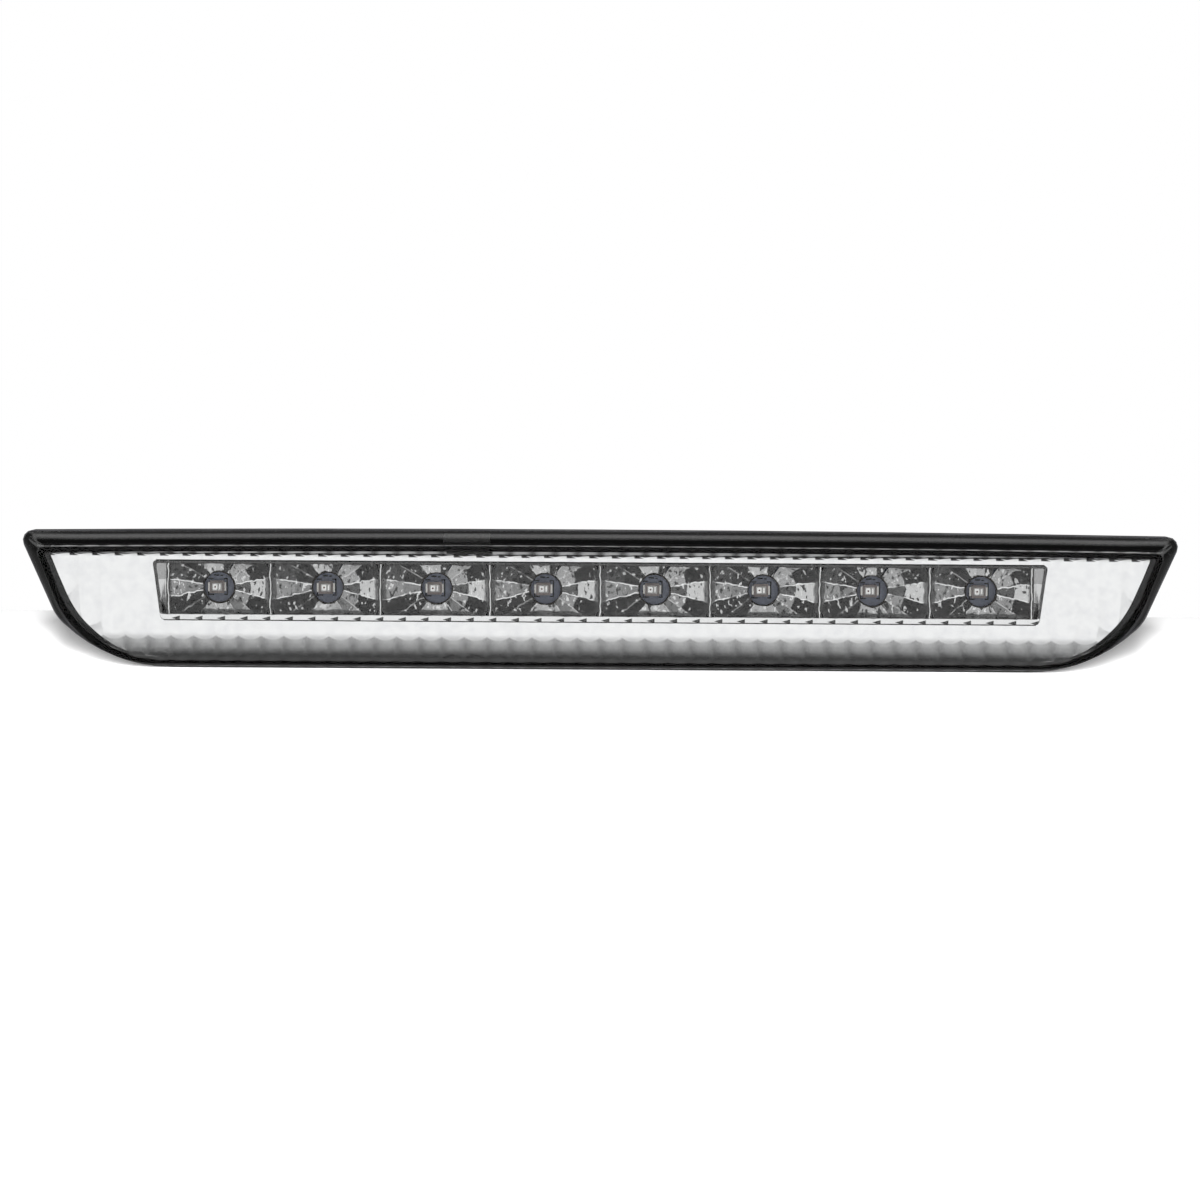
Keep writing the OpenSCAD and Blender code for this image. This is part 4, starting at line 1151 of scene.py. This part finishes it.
@dataclass
class CupRow:
    """The row of faceted cups: one cell is modelled for each LED, and its frame runs round them all."""

    count: int = 8
    end_cell: float = 12.2
    end_pocket: float = 4.0
    strip_h: float = 15.4
    frame_wall: float = 0.7
    frame_low: float = 1.6
    hole_r: float = 3.9
    facets: int = 16
    ridge_w: float = 1.1
    bow_half: float = 33.75
    leds: list[float] = field(default_factory=list)

    def __post_init__(self) -> None:
        """Works out the shared depths and the LEDs' places."""
        low, high = node_box("cup_reflector")
        self.front_y, self.back_y = low.y, high.y
        self.floor_y = self.back_y - 1.2
        half = SHAPE.strip().corners[-1][0]
        self.pitch = (half - self.end_cell - self.end_pocket) / (self.count / 2 - 0.5)
        self.leds = [(i - (self.count - 1) / 2) * self.pitch for i in range(self.count)]
        self.z = (SHAPE.strip().corners[0][1] + self.frame_low + SHAPE.strip().corners[-1][1] - self.frame_wall) / 2
        self.half_h = (self.strip_h - self.frame_wall - self.frame_low) / 2
        self.reach = self.pitch / 2 / math.cos(math.pi / self.facets)
        self.r0 = self.hole_r + 0.35
        depth = self.floor_y - self.front_y
        self.k = (depth - 0.2) / (self.reach ** 2 - self.r0 ** 2)

    def bowl_y(self, r: float) -> float:
        """Returns the bowl's depth at a distance from the LED's axis."""
        return self.floor_y - self.k * (r * r - self.r0 ** 2)

    def cell(self, x: float, left: float, right: float) -> bpy.types.Object:
        """Models one cell.

        Args:
            x: The LED's place along the lamp.
            left: From the LED to the cell's left side.
            right: From the LED to its right side.

        Returns:
            The open skin of the cell.
        """
        half_h = self.half_h
        radii = [self.r0, 6.2, 8.0, 11.2, self.reach, self.reach + 4]
        heights = [self.bowl_y(r) for r in radii]
        mid = (self.r0 + self.reach) / 2 - 0.9
        for i, r in enumerate(radii):
            if self.r0 < r < mid:
                heights[i] = self._on_chord(r, self.r0, mid)
            elif mid <= r:
                heights[i] = self._on_chord(r, mid, self.reach)
        radii[2] = mid
        heights[2] = self.bowl_y(mid)
        step = 2 * math.pi / self.facets
        skins: list[bpy.types.Object] = []
        bow = math.radians(self.bow_half)
        for k in range(self.facets):
            middle = step * k
            off = abs(math.remainder(middle - math.pi / 2, math.pi))
            if off < bow - 0.01:
                continue
            skins.append(self._facet(x, middle, step, radii, heights))
        skins.append(self._floor(x, half_h))
        skins += self._bow_walls(x, half_h)
        piece = join(skins, "cup_cell")
        for place_at, normal in (
            ((x - left + self.ridge_w / 2, 0, 0), (-1, 0, 0)),
            ((x + right - self.ridge_w / 2, 0, 0), (1, 0, 0)),
            ((0, 0, self.z - half_h), (0, 0, -1)),
            ((0, 0, self.z + half_h), (0, 0, 1)),
            ((0, self.front_y, 0), (0, -1, 0)),
        ):
            slice_off(piece, place_at, normal)
        return piece

    def _on_chord(self, r: float, r0: float, r1: float) -> float:
        """Returns the depth on the straight line between two points of the bowl."""
        return self.bowl_y(r0) + (self.bowl_y(r1) - self.bowl_y(r0)) * (r - r0) / (r1 - r0)

    def _facet(self, x: float, middle: float, step: float, radii: Sequence[float],
               heights: Sequence[float]) -> bpy.types.Object:
        """Returns one column of facets, each slightly hollow."""
        across = 4
        rows = []
        for r, y in zip(radii, heights):
            row = []
            for j in range(across + 1):
                t = 2 * j / across - 1
                half = r * math.tan(step / 2) * math.cos(step / 2)
                radial = r * math.cos(step / 2)
                hollow = 0.16 * (1 - t * t) * (r / self.reach)
                a, b = math.cos(middle), math.sin(middle)
                px = x + a * radial - b * half * t
                pz = self.z + b * radial + a * half * t
                row.append((px, y + hollow, pz))
            rows.append(row)
        return grid_skin(rows, "facet")

    def _floor(self, x: float, half_h: float) -> bpy.types.Object:
        """Returns the flat floor above and below the hole, with the ring round the hole."""
        bow = math.radians(self.bow_half)
        sides = 64
        inner, outer = [], []
        for i in range(sides):
            a = 2 * math.pi * i / sides
            inner.append((x + self.hole_r * math.cos(a), self.floor_y, self.z + self.hole_r * math.sin(a)))
            off = abs(math.remainder(a - math.pi / 2, math.pi))
            r = self.r0 + 0.25
            if off < bow:
                r = min(half_h + 0.4, 20) / abs(math.sin(a))
            outer.append((x + r * math.cos(a), self.floor_y, self.z + r * math.sin(a)))
        tube = [(p[0], self.back_y, p[2]) for p in inner]
        loft = Loft("floor", tube).reach(inner).reach(outer)
        return loft.done()

    def _bow_walls(self, x: float, half_h: float) -> list[bpy.types.Object]:
        """Returns the four small walls between the flat floor and the bowl beside it."""
        walls = []
        for up in (-1, 1):
            for side in (-1, 1):
                a = math.pi / 2 - math.radians(self.bow_half)
                rows = []
                for r in spread(self.r0, half_h / math.sin(a) + 1.0, 6):
                    px, pz = x + side * r * math.cos(a), self.z + up * r * math.sin(a)
                    mid = (self.r0 + self.reach) / 2 - 0.9
                    top = self._on_chord(r, self.r0, mid) if r < mid else self._on_chord(r, mid, self.reach)
                    rows.append([(px, self.floor_y + 0.02, pz), (px, min(top, self.floor_y), pz)])
                walls.append(grid_skin(rows, "bow_wall"))
        return walls

    def build(self) -> bpy.types.Object:
        """Builds, dresses and places the row of cups."""
        cells = []
        for i, x in enumerate(self.leds):
            left = self.end_cell if i == 0 else self.pitch / 2
            right = self.end_cell if i == self.count - 1 else self.pitch / 2
            cells.append(self.cell(x, left, right))
        cells += self._ridges()
        cells += self._frame()
        cells += [self._end(s) for s in (-1, 1)]
        piece = clean(join(cells, "cup_row"), 0.004, outwards=False)
        piece = smooth(piece, 12)
        plating = FacetPlating("aluminised_cups", self.pitch, self.count, self.z,
                               (self.r0 + self.reach) / 2 - 0.9, self.hole_r, self.half_h, self.end_cell)
        return place(PAINTS.dress(piece, plating), "aluminised_cups", "cup_reflector")

    def _ridges(self) -> list[bpy.types.Object]:
        """Returns the lands between neighbouring cells and past the outer ones."""
        half_h = self.half_h
        xs = [(i - self.count / 2) * self.pitch for i in range(1, self.count)]
        ends = [self.leds[-1] + self.end_cell]
        lands = []
        for x in [*xs, *ends, *(-e for e in ends)]:
            w, y = self.ridge_w / 2, self.front_y + 0.35
            groove = 0.12
            rows = [
                [(x - w, self.floor_y, z), (x - w, y, z), (x - groove * 2.4, y - 0.12, z), (x - groove, y + 0.05, z),
                 (x + groove, y + 0.05, z), (x + groove * 2.4, y - 0.12, z), (x + w, y, z), (x + w, self.floor_y, z)]
                for z in spread(self.z - half_h, self.z + half_h, 8)
            ]
            lands.append(grid_skin(rows, "ridge"))
        return lands

    def _frame(self) -> list[bpy.types.Object]:
        """Returns the frame round the row: its front edge, outer side and the cells' upper and lower walls."""
        strip = SHAPE.strip()
        outer = strip.inset(0.0)

        def opening(gap: float) -> list[Point2]:
            shelf = self.z - self.half_h - gap
            return [(x, max(z, shelf)) for x, z in strip.inset(self.frame_wall - gap)]

        loft = Loft("frame", level(outer, self.back_y))
        loft.reach(level(outer, self.front_y + 0.2)).reach(level(strip.inset(0.2), self.front_y))
        loft.reach(level(opening(0.15), self.front_y))
        loft.reach(level(opening(0.0), self.front_y + 0.15)).reach(level(opening(0.0), self.floor_y))
        return [loft.done()]

    def _end(self, side: int) -> bpy.types.Object:
        """Returns the slanting pocket past the outermost ridge on one side."""
        half_h = self.half_h
        x0 = self.leds[-1] + self.end_cell + self.ridge_w / 2
        rows = []
        for z in spread(self.z - half_h, self.z + half_h, 6):
            x1 = SHAPE.strip().half_width(z) - self.frame_wall
            row = [(side * (x0 + (x1 - x0) * t), self.front_y + 2.6 - 1.9 * t * t, z) for t in spread(0, 1, 6)]
            rows.append(row if side > 0 else row[::-1])
        return grid_skin(rows, "end_pocket")


def slice_off(piece: bpy.types.Object, at: Sequence[float], normal: Sequence[float]) -> None:
    """Cuts away the part of a piece past a plane.

    Args:
        piece: The piece to cut.
        at: A point of the plane in millimetres.
        normal: The direction that is thrown away.
    """
    hold(piece)
    bpy.ops.object.mode_set(mode="EDIT")
    bpy.ops.mesh.select_all(action="SELECT")
    bpy.ops.mesh.bisect(plane_co=Vector(at) * MM, plane_no=normal, clear_outer=True)
    bpy.ops.object.mode_set(mode="OBJECT")


# ---- small parts -------------------------------------------------------------------------------


@dataclass
class LedDetails:
    """The bright pads and the die inside each LED, and the printed corner marks round it."""

    row: CupRow
    shift: float = -0.6

    def build(self) -> None:
        """Builds, dresses and places the details."""
        front = node_box("led_packages")[0].y
        board = node_box("led_board")[0].y
        pads, dies, marks = [], [], []
        for x in self.row.leds:
            at, z = x + self.shift, self.row.z
            pads.append(self._plate(at - 0.45, z, 1.2, 1.5, front + 0.03, 0.25))
            pads.append(self._plate(at + 0.75, z, 0.42, 1.4, front + 0.03, 0.12))
            dies.append(block((at - 0.62, front + 0.005, z - 0.2), (at - 0.22, front + 0.05, z + 0.2)))
            marks += self._bracket(at, z, board)
        for parts, name, finish, slot in (
            (pads, "led_pads", "solder_pad", "tinned_metal"),
            (dies, "led_emitters", "led_chip", "led_chip"),
            (marks, "board_marks", "board_print", "board_laminate"),
        ):
            place(PAINTS.dress(join(parts, name), FINISHES[finish]), slot)

    @staticmethod
    def _plate(x: float, z: float, w: float, h: float, y: float, r: float) -> bpy.types.Object:
        """Returns a thin plate with round corners."""
        corner = ((x + w / 2, z - h / 2), (x + w / 2, z + h / 2), (x - w / 2, z + h / 2), (x - w / 2, z - h / 2))
        points = []
        for i, (cx, cz) in enumerate(corner):
            mx, mz = cx + (-r if cx > x else r), cz + (-r if cz > z else r)
            start = -math.pi / 2 + math.pi / 2 * i
            points += [(mx + r * math.cos(start + math.pi / 8 * k), mz + r * math.sin(start + math.pi / 8 * k))
                       for k in range(5)]
        return prism(points, y, y + 0.03, "plate")

    @staticmethod
    def _bracket(x: float, z: float, board: float) -> list[bpy.types.Object]:
        """Returns the printed lines round one LED."""
        y, w = (board - 0.03, board + 0.01), 0.34
        right, left, high, low = x + 2.75, x - 2.45, z + 2.3, z - 2.2
        spans = (
            ((right - w, low), (right, high)), ((right - 1.1, high - w), (right, high)),
            ((right - 1.0, low), (right, low + w)), ((left, low), (left + w, z - 0.2)),
            ((left, low), (left + 1.6, low + w)), ((left, high - w), (left + 1.3, high)),
            ((x - 0.9, high + 0.55), (x + 0.5, high + 0.95)), ((x + 0.8, high + 0.5), (x + 1.5, high + 0.8)),
        )
        return [block((a[0], y[0], a[1]), (b[0], y[1], b[1])) for a, b in spans]


@dataclass
class ThreadedStuds:
    """The two mounting studs, with their threads cut."""

    thread_r: float = 2.5
    pitch: float = 0.8
    depth: float = 0.45
    steps: int = 24

    def build(self) -> bpy.types.Object:
        """Builds, dresses and places the studs."""
        low, high = node_box("mounting_studs")
        studs: list[bpy.types.Object] = []
        for side in (-1, 1):
            studs += self._stud(side * self._axis_x(), low.y, high.y)
        piece = smooth(join(studs, "threaded_studs"), 40)
        return place(PAINTS.dress(piece, FINISHES["zinc_steel"]), "zinc_steel", "mounting_studs")

    @staticmethod
    def _axis_x() -> float:
        """Returns how far each stud stands from the middle, from its foam ring."""
        low, high = node_box("stud_gaskets")
        return high.x - (high.z - low.z) / 2

    def _stud(self, x: float, inner_y: float, tip_y: float) -> list[bpy.types.Object]:
        """Returns the parts of one stud."""
        neck_r = self.thread_r + 0.5
        head_h = 2.0
        clear_selection()
        seat = inner_y + head_h
        bpy.ops.mesh.primitive_cylinder_add(
            vertices=6, radius=(self.thread_r * 2 + 3) / 2 / math.cos(math.pi / 6) * MM, depth=head_h * MM,
            location=(x * MM, (inner_y + head_h / 2) * MM, 0), rotation=(math.pi / 2, 0, 0),
        )
        head = soften(settle(named("stud_head")), 0.25, 2)
        neck = soften(rod((x, 0), neck_r, seat, 0.0, 48, "stud_neck"), 0.15, 2)
        core = soften(rod((x, 0), self.thread_r - self.depth, -0.2, tip_y, 32, "stud_core"), 0.3, 3)
        return [head, neck, core, self._thread(x, 0.0, tip_y)]

    def _thread(self, x: float, y0: float, y1: float) -> bpy.types.Object:
        """Returns one winding ridge from the neck to the tip."""
        turns = int((y1 - y0) / self.pitch) - 1
        across = ((0.0, 0.0), (0.40, 1.0), (0.55, 1.0), (0.95, 0.0))
        rows = []
        for i in range(turns * self.steps + 1):
            a = 2 * math.pi * i / self.steps
            along = y0 + 0.05 + self.pitch * i / self.steps
            fade = min(1.0, i / 10, (turns * self.steps - i) / 16, (y1 - 0.2 - along) / 0.9)
            row = []
            for t, h in across:
                r = self.thread_r - self.depth - 0.03 + (self.depth + 0.03) * h * max(fade, 0.02)
                row.append((x + r * math.cos(a), along + t * self.pitch, r * math.sin(a)))
            rows.append(row)
        return grid_skin(rows, "stud_thread")


@dataclass
class CoverMarks:
    """The frosted gate scar on the cover's top side."""

    gate: tuple[float, float] = (-40.5, -28.5)

    def build(self) -> None:
        """Builds, dresses and places the gate scar."""
        rim, face = SHAPE.rim().inset(SHAPE.shoulder_in), SHAPE.face().inset(0.0)
        rows = []
        for share in spread(0.22, 0.80, 4):
            row = []
            for x in spread(self.gate[0], self.gate[1], 12):
                top_a, top_b = self._height(rim, x), self._height(face, x)
                y = SHAPE.rim_y + (SHAPE.front_y + 0.9 - SHAPE.rim_y) * share
                row.append((x, y - 0.015, top_a + (top_b - top_a) * share - 0.004))
            rows.append(row)
        piece = grid_skin(rows, "gate_scar")
        piece = apply_modifier(piece, "SOLIDIFY", thickness=0.02 * MM, offset=-1.0)
        place(PAINTS.dress(piece, FINISHES["frosted_gate"]), "clear_cover")

    @staticmethod
    def _height(ring: Sequence[Point2], x: float) -> float:
        """Returns the top of a ring at a place along the lamp."""
        best = -1e9
        for (x0, z0), (x1, z1) in zip(ring, [*ring[1:], ring[0]]):
            if x0 != x1 and min(x0, x1) <= x <= max(x0, x1):
                best = max(best, z0 + (z1 - z0) * (x - x0) / (x1 - x0))
        return best


SOFTENED: dict[str, float] = {"housing": 0.28, "connector_shell": 0.22, "vent_cap": 0.2}


def soften_nodes() -> None:
    """Rounds the edges of the moulded CAD nodes that stay in view."""
    for node, width in SOFTENED.items():
        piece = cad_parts[node]
        weld = piece.modifiers.new("Weld", "WELD")
        weld.merge_threshold = 0.0005 * MM
        bevel = piece.modifiers.new("Bevel", "BEVEL")
        bevel.width, bevel.segments = width * MM, 2
        bevel.limit_method, bevel.angle_limit = "ANGLE", math.radians(50)
        bevel.harden_normals = True


# ---- light and camera --------------------------------------------------------------------------


@dataclass
class Studio:
    """The pale floor, the soft light and the camera."""

    distance: float = 800.0
    elevation: float = 3.5
    roll: float = 0.37
    field_of_view: float = 22.07
    floor_w: float = 1400.0
    floor_d: float = 1000.0
    floor_y: float = -300.0
    key: float = 106.0
    key_distance: float = 950.0
    key_low: float = 40.0
    key_high: float = 230.0
    key_width: float = 30.0
    ambient: float = 0.17
    front_greys: tuple[Point2, ...] = ((0, 0.97), (8, 0.96), (13, 0.82), (18, 0.68), (28, 0.55), (39, 0.38), (54, 0.28),
                                       (90, 0.2))
    back_greys: tuple[Point2, ...] = ((-90, 0.1), (-50, 0.08), (-20, 0.07), (33, 0.10), (39, 0.8), (42, 0.8),
                                      (46, 0.05), (90, 0.05))

    def build(self) -> None:
        """Sets the camera, the floor, the lights and the surroundings."""
        self._camera()
        self._floor()
        self._lights()
        self._surroundings()

    def _camera(self) -> None:
        """Places the camera in front of the middle of the rim."""
        e = math.radians(self.elevation)
        low, high = node_box("housing")
        target = Vector((0, SHAPE.rim_y, (low.z + high.z) / 2)) * MM
        back = Vector((0, -math.cos(e), math.sin(e)))
        clear_selection()
        bpy.ops.object.camera_add(location=target + back * self.distance * MM)
        camera = bpy.context.view_layer.objects.active
        camera.name = "camera"
        turn = (-back).to_track_quat("-Z", "Y").to_euler()
        camera.rotation_euler = turn
        camera.rotation_euler.rotate_axis("Z", math.radians(self.roll))
        camera.data.sensor_width = 36.0
        camera.data.lens = 18.0 / math.tan(math.radians(self.field_of_view / 2))
        camera.data.clip_start, camera.data.clip_end = 0.01, 50
        bpy.context.scene.camera = camera

    def _floor(self) -> None:
        """Adds the floor that the lamp stands on."""
        clear_selection()
        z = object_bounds()[0].z
        bpy.ops.mesh.primitive_plane_add(size=1, location=(0, self.floor_y * MM, z))
        floor = named("floor")
        floor.scale = (self.floor_w * MM, self.floor_d * MM, 1.0)
        settle(floor)
        graph = Graph("pale_floor")
        graph.feed("Base Color", graph.mix(graph.noise(0.002), (0.93, 0.93, 0.93), (0.95, 0.95, 0.95)))
        graph.feed("Roughness", 1.0)
        graph.feed("Specular IOR Level", 0.0)
        floor.data.materials.append(graph.material)
        floor.visible_glossy = False
        floor.visible_transmission = False
        floor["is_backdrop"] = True

    def _lights(self) -> None:
        """Adds a narrow upright strip light in front, which whitens the floor and throws a soft shadow back."""
        clear_selection()
        low = node_box("housing")[0].z
        middle = Vector((0, -self.key_distance, low + (self.key_low + self.key_high) / 2)) * MM
        bpy.ops.object.light_add(type="AREA", location=middle)
        light = bpy.context.view_layer.objects.active
        light.name = "key"
        light.data.shape = "RECTANGLE"
        light.data.size, light.data.size_y = self.key_width * MM, (self.key_high - self.key_low) * MM
        light.data.energy = self.key
        light.rotation_euler = Vector((0, 1, 0)).to_track_quat("-Z", "Y").to_euler()
        light.visible_glossy = False
        light.visible_transmission = False
        light.visible_camera = False

    def _surroundings(self) -> None:
        """Sets the surroundings by height above the horizon and by side: front, and right or left, and back."""
        world = bpy.data.worlds.new("studio")
        bpy.context.scene.world = world
        world.use_nodes = True
        self.tree = world.node_tree
        background = self.tree.nodes["Background"]
        direction = self.tree.nodes.new("ShaderNodeTexCoord").outputs["Generated"]
        split = self.tree.nodes.new("ShaderNodeSeparateXYZ")
        self.tree.links.new(direction, split.inputs[0])
        squares = [self._sum("MULTIPLY", split.outputs[axis], split.outputs[axis]) for axis in ("X", "Y")]
        near = self._sum("SQRT", self._sum("MULTIPLY_ADD", squares[0], 0.97, squares[1]))
        front = self._ramp(self._sum("MULTIPLY", near, -1.0), [(d - 90, g) for d, g in self.front_greys])
        back = self._ramp(split.outputs["Z"], self.back_greys)
        turned = self.tree.nodes.new("ShaderNodeMapRange")
        turned.interpolation_type = "SMOOTHSTEP"
        for i, value in enumerate((-0.65, -0.2, 0.0, 1.0), start=1):
            turned.inputs[i].default_value = value
        self.tree.links.new(split.outputs["Y"], turned.inputs[0])
        shade = self._mix(turned.outputs[0], front, back)
        rays = self.tree.nodes.new("ShaderNodeLightPath")
        dim = self._mix(rays.outputs["Is Diffuse Ray"], shade, (self.ambient,) * 3 + (1.0,))
        seen = self._mix(rays.outputs["Is Camera Ray"], dim, (1.0, 1.0, 1.0, 1.0))
        self.tree.links.new(seen, background.inputs[0])
        background.inputs[1].default_value = 1.0
        bpy.context.scene.view_settings.view_transform = "Standard"

    def _ramp(self, height: bpy.types.NodeSocket, greys: Sequence[Point2]) -> bpy.types.NodeSocket:
        """Returns a grey by height.

        Args:
            height: The sine of the elevation.
            greys: (elevation in degrees, grey) from the lowest up.
        """
        lift = self.tree.nodes.new("ShaderNodeMapRange")
        lift.inputs[1].default_value, lift.inputs[2].default_value = -1.0, 1.0
        self.tree.links.new(height, lift.inputs[0])
        ramp = self.tree.nodes.new("ShaderNodeValToRGB")
        self.tree.links.new(lift.outputs[0], ramp.inputs[0])
        elements = ramp.color_ramp.elements
        while len(elements) < len(greys):
            elements.new(0.5)
        for element, (degrees, grey) in zip(elements, greys):
            element.position = (math.sin(math.radians(degrees)) + 1) / 2
            element.color = (grey, grey, grey, 1.0)
        return ramp.outputs[0]

    def _sum(self, operation: str, *values: object) -> bpy.types.NodeSocket:
        """Returns the output of a Math node in the surroundings."""
        made = self.tree.nodes.new("ShaderNodeMath")
        made.operation = operation
        for socket, value in zip(made.inputs, values):
            if isinstance(value, bpy.types.NodeSocket):
                self.tree.links.new(value, socket)
            else:
                socket.default_value = value
        return made.outputs[0]

    def _mix(self, share: bpy.types.NodeSocket, first: object, second: object) -> bpy.types.NodeSocket:
        """Returns a mix of two greys of the surroundings."""
        made = self.tree.nodes.new("ShaderNodeMix")
        made.data_type = "RGBA"
        self.tree.links.new(share, made.inputs[0])
        for socket, value in ((made.inputs[6], first), (made.inputs[7], second)):
            if isinstance(value, bpy.types.NodeSocket):
                self.tree.links.new(value, socket)
            else:
                socket.default_value = value
        return made.outputs[2]


# ---- CAD nodes ---------------------------------------------------------------------------------


NODE_FINISH: dict[str, str] = {
    "lens_seal": "seal_rubber",
    "led_board": "board_laminate",
    "led_packages": "led_ceramic",
    "led_leads": "tinned_metal",
    "led_resin": "led_silicone",
    "led_dies": "led_chip",
    "chip_resistors": "component_black",
    "polarity_diode": "component_black",
    "filter_capacitor": "component_tan",
    "board_screws": "zinc_steel",
    "reflector_screws": "zinc_steel",
    "housing": "black_housing",
    "housing_screws": "zinc_steel",
    "screw_seals": "seal_rubber",
    "rim_gasket": "black_foam",
    "mounting_studs": "zinc_steel",
    "stud_gaskets": "black_foam",
    "connector_shell": "connector_black",
    "connector_pins": "tinned_metal",
    "connector_seal": "seal_orange",
    "positive_wire": "wire_red",
    "negative_wire": "wire_black",
    "solder_joints": "tinned_metal",
    "vent_cap": "connector_black",
    "vent_membrane": "vent_white",
}


def dress_nodes() -> None:
    """Gives every CAD node that shows its own finish."""
    for node, finish in NODE_FINISH.items():
        PAINTS.dress(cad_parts[node], FINISHES[finish])


def main() -> None:
    """Builds the studio and then the lamp, piece by piece."""
    logging.basicConfig(level=logging.INFO, format="%(name)s: %(message)s")
    Studio().build()
    dress_nodes()
    ClearCover().build()
    FlutedBezel().build()
    cups = CupRow()
    cups.build()
    LedDetails(cups).build()
    ThreadedStuds().build()
    CoverMarks().build()
    soften_nodes()


if __name__ == "__main__":
    main()
